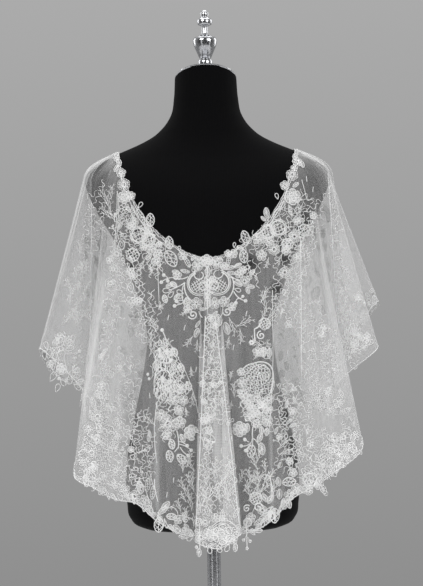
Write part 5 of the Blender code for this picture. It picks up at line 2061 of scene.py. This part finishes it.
    def fill_area(self, piece: LacePiece, ground: Ground, pitch: float, outline: Array) -> None:
        """Fill an area of the back with net, or with small lace on a jittered triangular grid.

        A grid point counts as inside where a level line from it crosses the outline an odd number
        of times.

        Args:
            piece: Piece that gets the lace.
            ground: What fills the area.
            pitch: Spacing in mm.
            outline: Corners of the area, x and height in mm.
        """
        if ground is Ground.MESH:
            piece.on_relief(lattice(outline, pitch, 1.2, wave=0.3))
            return
        low, high = outline.min(axis=0), outline.max(axis=0)
        rise = 0.866                 # height of an even triangle over its side
        rows = int((high[1] - low[1]) / (pitch * rise)) + 1
        columns = int((high[0] - low[0]) / pitch) + 1
        row, column = [v.ravel() for v in np.mgrid[0:rows, 0:columns]]
        spots = np.stack([low[0] + (column + 0.5 * (row % 2)) * pitch,
                          low[1] + row * pitch * rise], axis=1)
        spots += self.random.uniform(-0.3, 0.3, spots.shape) * pitch
        start, end = outline, np.roll(outline, -1, axis=0)
        spans = (start[:, 1] > spots[:, 1:]) != (end[:, 1] > spots[:, 1:])
        run, climb = (end - start).T
        cross = start[:, 0] + (spots[:, 1:] - start[:, 1]) / np.where(climb == 0, 1e-9, climb) * run
        inside = ((spans & (spots[:, :1] < cross)).sum(axis=1) % 2) == 1
        for x, z in spots[inside]:
            if ground is Ground.CORALS:
                piece.on_relief(Kind.CORAL.value, x, z, turn=self.stray(40),
                                size=pitch * self.random.uniform(1.0, 1.4))
            elif ground is Ground.UPRIGHT:
                piece.on_relief(self.meander(True), x, z)
            else:
                piece.on_relief(self.small_motif(), x, z)

    def spaced(self, row: int, first: float, last: float, pitch: float) -> Array:
        """Columns at even lengths along a row, between two columns.

        Args:
            row: Row of the cloth's grid.
            first: Column at the start.
            last: Column at the end.
            pitch: Wanted spacing.

        Returns:
            The columns, which need not be whole.
        """
        whole = np.arange(math.floor(first), math.ceil(last) + 1)
        total = len(self.cloth.grid)
        turns = whole // total
        length = self.cloth.arc[whole % total, row] + turns * self.cloth.arc[-1, row]
        start, end = np.interp([first, last], whole, length)
        count = max(2, round((end - start) / pitch))
        return np.interp(start + (np.arange(count) + 0.5) * (end - start) / count, length, whole)

    def drop_of(self, column: float) -> float:
        """Length of the cloth from the neckline to the hem at a column."""
        return float(self.cloth.length[round(column) % len(self.cloth.grid), -1])

    def trim_hem(self, piece: LacePiece, first: float, last: float, start: float, end: float,
                 height: float) -> None:
        """Trim a stretch of the hem with two rows of motifs over small lace, and with a cord.

        Args:
            piece: Piece that gets the trim.
            first: Rib at which the cord starts.
            last: Rib at which it ends.
            start: Share of the stretch at which the motifs start.
            end: Share at which they end.
            height: Height of the lace over the hem.
        """
        whole = self.cloth.column_of(first), self.cloth.column_of(last)
        ends = tuple(np.interp([start, end], [0, 1], whole))
        rows = [(self.hem_pitch, self.HEM_ROW)]
        if height > 0:
            rows.append((self.upper_pitch, self.UPPER_ROW))
        for pitch, table in rows:
            for place, column in enumerate(self.spaced(-1, *ends, pitch)):
                kind, over, turn, size = table[place % len(table)]
                turn += self.stray(12)
                piece.on_cloth(kind.value.put(0, 0, turn, size), column,
                               self.drop_of(column) - over * MM - self.hem_rise)
        for line in range(round(height / self.small_step)):
            for column in self.spaced(-1, *ends, self.small_pitch):
                over = self.small_start + line * self.small_step + self.stray(self.jitter)
                piece.on_cloth(self.meander(), column, self.drop_of(column) - over)
        columns = np.arange(math.ceil(whole[0]), math.floor(whole[1]) + 1, 2)
        down = self.cloth.length[columns % len(self.cloth.grid), -1] - self.hem_edge
        self.add_line(piece, columns, down, self.hem_cord)

    def add_line(self, piece: LacePiece, columns: Array, down: Array, width: float) -> None:
        """Add a cord through columns at distances from the neckline.

        Args:
            piece: Piece that gets the cord.
            columns: Columns of its points.
            down: Their distances from the neckline.
            width: Width in mm.
        """
        nought = np.zeros(len(columns))
        piece.routes.append(np.stack([np.mod(columns, len(self.cloth.grid)), down, nought, nought],
                                     axis=1))
        piece.widths.append(np.full(len(columns), width * MM))
        piece.closed.append(False)

    def neck_ends(self, first: float, last: float) -> tuple[float, float]:
        """Columns at two neck values."""
        values = np.append(self.cloth.neck_value, 4.0 + self.cloth.neck_value[0])
        return tuple(np.interp([first, last], values, np.arange(len(values))))

    def trim_neck(self, piece: LacePiece, first: float, last: float) -> None:
        """Trim a stretch of the neckline with two cords and slanted rungs between them.

        Args:
            piece: Piece that gets the trim.
            first: Neck value at which it starts.
            last: Neck value at which it ends.
        """
        ends = self.neck_ends(first, last)
        columns = np.arange(math.ceil(ends[0]), math.floor(ends[1]) + 1, 2)
        for down, width in zip((self.neck_edge, self.neck_inner), self.neck_cords):
            self.add_line(piece, columns, np.full(len(columns), down), width)
        long = (self.neck_inner - self.neck_edge) / MM
        for place, column in enumerate(self.spaced(0, *ends, self.rung_pitch)):
            lean = 1.6 if place % 2 else -1.6
            rung = Motif((Cord(np.array([(-lean, 0.0), (lean, -long)]), 1.0),))
            piece.on_cloth(rung, column, self.neck_edge)

    def band_front(self, piece: LacePiece) -> None:
        """Lay the band of flowers, leaves and small lace along the front of the neckline.

        Args:
            piece: Piece that gets the lace.
        """
        ends = self.neck_ends(1.0, 3.0)
        for place, column in enumerate(self.spaced(0, *ends, self.band_pitch)):
            kind, down, turn, size = self.NECK_ROW[place % len(self.NECK_ROW)]
            turn += self.stray(15)
            piece.on_cloth(kind.value.put(0, 0, turn, size), column, down * MM)
            if place % 2:
                piece.on_cloth(Kind.LOOP.value.put(0, 1.5, turn * 0.4, 9.0), column, 0.0)
        for line in range(self.band_rows):
            for column in self.spaced(0, *ends, self.band_small):
                down = self.band_step + self.band_step * line + self.stray(self.jitter)
                piece.on_cloth(self.small_motif(0.92), column, down)

    def line_gore(self, piece: LacePiece) -> None:
        """Run a bold cord down both edges of the gore."""
        for top, low in self.GORE_EDGES:
            piece.on_relief(Motif((Cord(bow(top, low, 0.5, 60), self.gore_cord),)))

    def strew_front(self, piece: LacePiece) -> None:
        """Strew sprigs over the front and the hidden sides of the wings, in staggered rows.

        Args:
            piece: Piece that gets the lace.
        """
        cloth = self.cloth
        ends = [cloth.column_of(rib) for rib in self.front_ribs]
        for line, share in enumerate(np.linspace(0.18, 0.88, self.front_rows)):
            row = int(share ** (1 / cloth.crowding) * (cloth.rows - 1))
            for place, column in enumerate(self.spaced(row, *ends, self.front_pitch)):
                kind, size = self.STREWN[(place * 3 + line * 7) % len(self.STREWN)]
                column += self.stray(3)
                motif = kind.value.put(turn=self.stray(35), size=size * self.random.uniform(0.8, 1.1))
                down = share * self.drop_of(column) + self.stray(self.front_jitter)
                piece.on_cloth(motif, column, down)
            for column in self.spaced(row, *ends, self.front_small):
                down = (share + 0.03) * self.drop_of(column) + self.stray(self.front_jitter)
                piece.on_cloth(self.meander(), column, down)


# ---------------------------------------------------------------------------- finishes

@dataclass(frozen=True)
class SoftTulle:
    """Fine white tulle. The eye gets a veil: each layer hides a fifth of what is behind it.

    The real mesh is 1 mm wide. It is drawn 2.4 mm wide, so that it just shows.
    """

    colour: str = "#f4f4f4"
    veil: float = 0.113              # opacity of each face of the shell, seen straight on
    mesh_pitch: float = 2.4 * MM
    roughness: float = 0.8
    thread_share: float = 0.5        # how much more the threads hide than the mean
    streak_share: float = 0.16       # slow change of the veil along the warp
    slant_limit: float = 0.30        # least cosine that counts for the slant

    def build(self) -> Material:
        """Make the finish.

        The veil's opacity is its mean, more on the mesh's threads and less in its holes, changed
        slowly along the warp, and divided by the cosine of the slant, because a net that is seen
        at a slant hides more.

        Returns:
            The material.
        """
        made, tree, shader = new_material("soft_tulle")
        uv = add_node(tree, "UVMap", uv_map="Cloth")
        mesh = add_node(tree, "TexVoronoi", {
            "Vector": uv, "Randomness": 0.3, "Scale": 1 / self.mesh_pitch}, "Distance",
            voronoi_dimensions="2D", feature="DISTANCE_TO_EDGE")
        threads = add_node(tree, "MapRange", {
            "Value": mesh, "From Min": 0.0, "From Max": 0.34,
            "To Min": 1 + self.thread_share, "To Max": 1 - self.thread_share * 0.6})
        warp = add_node(tree, "Mapping", {"Vector": uv, "Scale": (150, 9, 1)})
        streak = add_node(tree, "TexNoise", {"Vector": warp, "Scale": 1.0, "Detail": 3.0},
                          noise_dimensions="2D")
        streaks = add_node(tree, "MapRange", {
            "Value": streak, "From Min": 0.25, "From Max": 0.75,
            "To Min": 1 - self.streak_share, "To Max": 1 + self.streak_share})
        facing = add_node(tree, "LayerWeight", {"Blend": 0.5}, "Facing")
        cosine = add_node(tree, "Math", {0: 1.0, 1: facing}, operation="SUBTRACT")
        slant = add_node(tree, "Math", {0: cosine, 1: self.slant_limit}, operation="MAXIMUM")
        weave = add_node(tree, "Math", {0: threads, 1: streaks}, operation="MULTIPLY")
        # the layers attribute counts the gathers, and thins the veil under one layer as painted shade
        layers = add_node(tree, "Attribute", output="Fac", attribute_name="layers")
        mean = add_node(tree, "Math", {0: layers, 1: self.veil}, operation="MULTIPLY")
        veil = add_node(tree, "Math", {0: weave, 1: mean}, operation="MULTIPLY")
        veil = add_node(tree, "Math", {0: veil, 1: slant}, operation="DIVIDE", use_clamp=True)
        fill(shader, {"Base Color": linear(self.colour), "Roughness": self.roughness,
                      "Specular IOR Level": 0.2, "Alpha": veil})
        return made


@dataclass(frozen=True)
class CottonCord:
    """Matt white cotton cord that is couched on the net. It gives crisp light lines."""

    colour: str = "#fbfbfb"
    # painted shade in the hollows of the twist
    shade: str = "#e6e6e6"
    roughness: float = 0.75
    twist_pitch: float = 1.6 * MM    # drawn twice as coarse as the real twist

    def build(self) -> Material:
        """Make the finish, with a small twisted relief, and painted shade that darkens the colour in the
        twist's hollows.

        Returns:
            The material.
        """
        made, tree, shader = new_material("corded_lace")
        place = add_node(tree, "TexCoord", output="Object")
        twist = add_node(tree, "TexNoise", {
            "Vector": place, "Detail": 1.0, "Scale": 1 / self.twist_pitch})
        relief = add_node(tree, "Bump", {"Height": twist, "Strength": 0.35, "Distance": 0.0004})
        # the twist's low places get the painted shade, its high places the white
        tint = add_node(tree, "Mix", {"Factor": twist, 6: linear(self.shade),
                                      7: linear(self.colour)}, 2, data_type="RGBA")
        fill(shader, {"Base Color": tint, "Roughness": self.roughness, "Normal": relief,
                      "Specular IOR Level": 0.25, "Sheen Weight": 0.15})
        return made


@dataclass(frozen=True)
class SatinStitch:
    """Close flat stitches that fill a petal. They are a little see-through and softly glossy."""

    colour: str = "#f5f5f5"
    cover: float = 0.56              # opacity of each face of a pad
    thread: float = 1.8 * MM         # drawn four times as coarse as the real thread
    roughness: float = 0.5

    def build(self) -> Material:
        """Make the finish, with the stitches as fine bands in the relief and the opacity.

        Returns:
            The material.
        """
        made, tree, shader = new_material("satin_stitch")
        place = add_node(tree, "TexCoord", output="Object")
        bands = add_node(tree, "TexWave", {
            "Vector": place, "Scale": 0.3 / self.thread, "Distortion": 2.5, "Detail": 1.0}, "Fac",
            bands_direction="DIAGONAL")
        cover = add_node(tree, "MapRange", {
            "Value": bands, "To Min": self.cover * 0.7, "To Max": self.cover * 1.3})
        relief = add_node(tree, "Bump", {"Height": bands, "Strength": 0.4, "Distance": 0.0003})
        fill(shader, {"Base Color": linear(self.colour), "Roughness": self.roughness,
                      "Specular IOR Level": 0.35, "Alpha": cover, "Normal": relief})
        return made


@dataclass(frozen=True)
class BlackJersey:
    """Black cotton jersey drawn over the form. It is almost without gloss, with a faint knit."""

    colour: str = "#060607"
    # painted light on the raised knit, whose furrows stay darker as painted shade
    painted_lit_colour: str = "#0c0c0d"
    wale: float = 2.4 * MM           # the real wale is 0.8 mm; drawn so that it just shows
    roughness: float = 0.92

    def build(self) -> Material:
        """Make the finish: upright knitted wales as bands, broken by a fine noise, with painted light on the
        raised knit and painted shade in its furrows.

        Returns:
            The material.
        """
        made, tree, shader = new_material("black_jersey")
        place = add_node(tree, "TexCoord", output="Object")
        wales = add_node(tree, "TexWave", {
            "Vector": place, "Scale": 0.3 / self.wale, "Distortion": 1.2, "Detail": 2.0,
            "Detail Scale": 3.0}, "Fac", bands_direction="X")
        pile = add_node(tree, "TexNoise", {"Vector": place, "Scale": 900.0, "Detail": 2.0})
        knit = add_node(tree, "Math", {0: wales, 1: pile}, operation="MULTIPLY")
        # the knit's high places get the painted light, its low places stay darker as painted shade
        tint = add_node(tree, "Mix", {"Factor": knit, 6: linear(self.colour),
                                      7: linear(self.painted_lit_colour)}, 2, data_type="RGBA")
        relief = add_node(tree, "Bump", {"Height": knit, "Strength": 0.25, "Distance": 0.0003})
        fill(shader, {"Base Color": tint, "Roughness": self.roughness, "Normal": relief,
                      "Specular IOR Level": 0.07, "Sheen Weight": 0.01, "Sheen Roughness": 0.6})
        return made


@dataclass(frozen=True)
class PolishedChrome:
    """Polished chrome plate. It mirrors the studio, with a trace of fine wiping marks."""

    colour: str = "#c2c3c6"
    roughness: float = 0.17
    mark_length: float = 12 * MM
    mark_width: float = 0.6 * MM

    def build(self) -> Material:
        """Make the finish: a metal whose roughness changes in fine bands round the axis.

        Returns:
            The material.
        """
        made, tree, shader = new_material("polished_chrome")
        place = add_node(tree, "TexCoord", output="Object")
        stretch = add_node(tree, "Mapping", {"Vector": place, "Scale": (
            1 / self.mark_length, 1 / self.mark_length, 1 / self.mark_width)})
        marks = add_node(tree, "TexNoise", {"Vector": stretch, "Scale": 1.0, "Detail": 3.0})
        rough = add_node(tree, "MapRange", {
            "Value": marks, "From Min": 0.3, "From Max": 0.7,
            "To Min": self.roughness * 0.6, "To Max": self.roughness * 1.6})
        fill(shader, {"Base Color": linear(self.colour), "Metallic": 1.0, "Roughness": rough})
        return made


@dataclass(frozen=True)
class StudioPaint:
    """Matt pale paint of the studio floor."""

    colour: str = "#d9d9d9"
    cloud_colour: str = "#dedede"

    def build(self) -> Material:
        """Make the finish, with a faint unevenness.

        Returns:
            The material.
        """
        made, tree, shader = new_material("studio_floor")
        place = add_node(tree, "TexCoord", output="Object")
        cloud = add_node(tree, "TexNoise", {"Vector": place, "Scale": 3.0})
        tint = add_node(tree, "Mix", {"Factor": cloud, 6: linear(self.colour),
                                      7: linear(self.cloud_colour)}, 2, data_type="RGBA")
        fill(shader, {"Base Color": tint, "Roughness": 0.9})
        return made


# ---------------------------------------------------------------------------- studio

@dataclass
class Studio:
    """Pale floor, grey surroundings, soft lights and the camera."""

    floor_radius: float = 2.2
    floor_level: float = -0.0002     # a hair under the base plate
    distance: float = 3.4            # camera to the object's axis
    camera_x: float = 0.0035
    camera_height: float = 0.832
    roll: float = math.radians(-1.0)
    image_height: int = 586
    pixel: float = 1.6 * MM          # what one pixel covers at the object's axis
    sensor: float = 36.0

    # name, place, width, height, power, height on the axis that it faces
    LIGHTS = (
        ("key", (-2.0, -3.2, 2.6), 2.2, 2.2, 80.0, 0.75),
        ("fill", (2.3, -3.0, 2.0), 2.2, 2.4, 62.0, 0.75),
        ("top", (0.0, 0.4, 3.2), 2.4, 2.4, 34.0, 0.8),
        ("rim_left", (-2.6, 1.6, 1.7), 1.2, 2.2, 22.0, 0.8),
        ("rim_right", (2.6, 1.6, 1.7), 1.2, 2.2, 22.0, 0.8),
        ("strip_left", (-1.1, -1.7, 0.8), 0.16, 1.8, 1.6, 0.8),
        ("strip_right", (1.5, -1.2, 0.8), 0.2, 1.8, 1.4, 0.8),
    )

    def build(self, paint: Material) -> None:
        """Set up the floor, the surroundings, the lights and the camera.

        Args:
            paint: Finish of the floor.
        """
        self.build_floor(paint)
        self.build_world()
        self.build_lights()
        self.build_camera()
        scene = bpy.context.scene
        scene.view_settings.view_transform = "Standard"
        scene.cycles.transparent_max_bounces = 64

    def build_floor(self, paint: Material) -> None:
        """Make the floor as a flat disc of rings round the origin.

        Args:
            paint: Its finish.
        """
        sides, rings = 96, 12
        turn = full_turn(sides)[:, None]
        radius = np.linspace(0.001, self.floor_radius, rings)[None, :]
        low = np.full((sides, rings), self.floor_level)
        grid = np.stack([radius * np.cos(turn), radius * np.sin(turn), low], axis=-1)
        faces = grid_faces(sides, rings, wrap=True)[:, ::-1]
        make_piece("studio_floor", grid.reshape(-1, 3), faces, paint)

    def build_world(self) -> None:
        """Grey surroundings, lighter upwards and dark towards -Y, by the line of sight."""
        world = bpy.data.worlds.new("grey_studio")
        world.use_nodes = True
        bpy.context.scene.world = world
        tree = world.node_tree
        sight = add_node(tree, "TexCoord", output="Generated")
        side, up = [add_node(tree, "SeparateXYZ", {0: sight}, axis) for axis in "YZ"]
        grey = add_node(tree, "MapRange", {
            "Value": up, "From Min": -0.16, "From Max": 0.15, "To Min": 0.264, "To Max": 0.413})
        room = add_node(tree, "MapRange", {
            "Value": side, "From Min": -0.5, "From Max": 0.1, "To Min": 0.2, "To Max": 1.0})
        grey = add_node(tree, "Math", {0: grey, 1: room}, operation="MULTIPLY")
        fill(tree.nodes["Background"], {"Color": grey})

    def build_lights(self) -> None:
        """Hang the soft area lights."""
        for name, place, width, height, power, aim in self.LIGHTS:
            data = bpy.data.lights.new(name, "AREA")
            data.shape, data.size, data.size_y, data.energy = "RECTANGLE", width, height, power
            lamp = bpy.data.objects.new(name, data)
            lamp.visible_camera = False
            bpy.context.scene.collection.objects.link(lamp)
            way = (Vector(place) - Vector((0, 0, aim))).to_track_quat("Z", "Y")
            lamp.matrix_world = Matrix.Translation(place) @ way.to_matrix().to_4x4()

    def build_camera(self) -> None:
        """Place the camera level, with the image's height as its sensor's long side."""
        data = bpy.data.cameras.new("camera")
        data.sensor_fit = "VERTICAL"
        data.sensor_height = self.sensor
        data.lens = self.sensor * self.distance / (self.image_height * self.pixel)
        camera = bpy.data.objects.new("camera", data)
        bpy.context.scene.collection.objects.link(camera)
        place = Matrix.Translation((self.camera_x, -self.distance, self.camera_height))
        level = Matrix.Rotation(math.pi / 2, 4, "X")
        camera.matrix_world = place @ level @ Matrix.Rotation(self.roll, 4, "Z")
        bpy.context.scene.camera = camera


def main() -> None:
    """Build the shawl, its dress form and the studio."""
    logging.basicConfig(level=logging.INFO, format="%(name)s: %(message)s")
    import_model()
    tulle, cord, satin, jersey, chrome, paint = [finish.build() for finish in (
        SoftTulle(), CottonCord(), SatinStitch(), BlackJersey(), PolishedChrome(), StudioPaint())]
    form = DressForm()
    form.build(jersey)
    ChromeFittings(form).build(chrome)
    cloth = ShawlCloth(form)
    TullePanels(cloth).build(tulle)
    CordedLace(cloth).build((cord, satin))
    Studio().build(paint)
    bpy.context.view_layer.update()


if __name__ == "__main__":
    main()
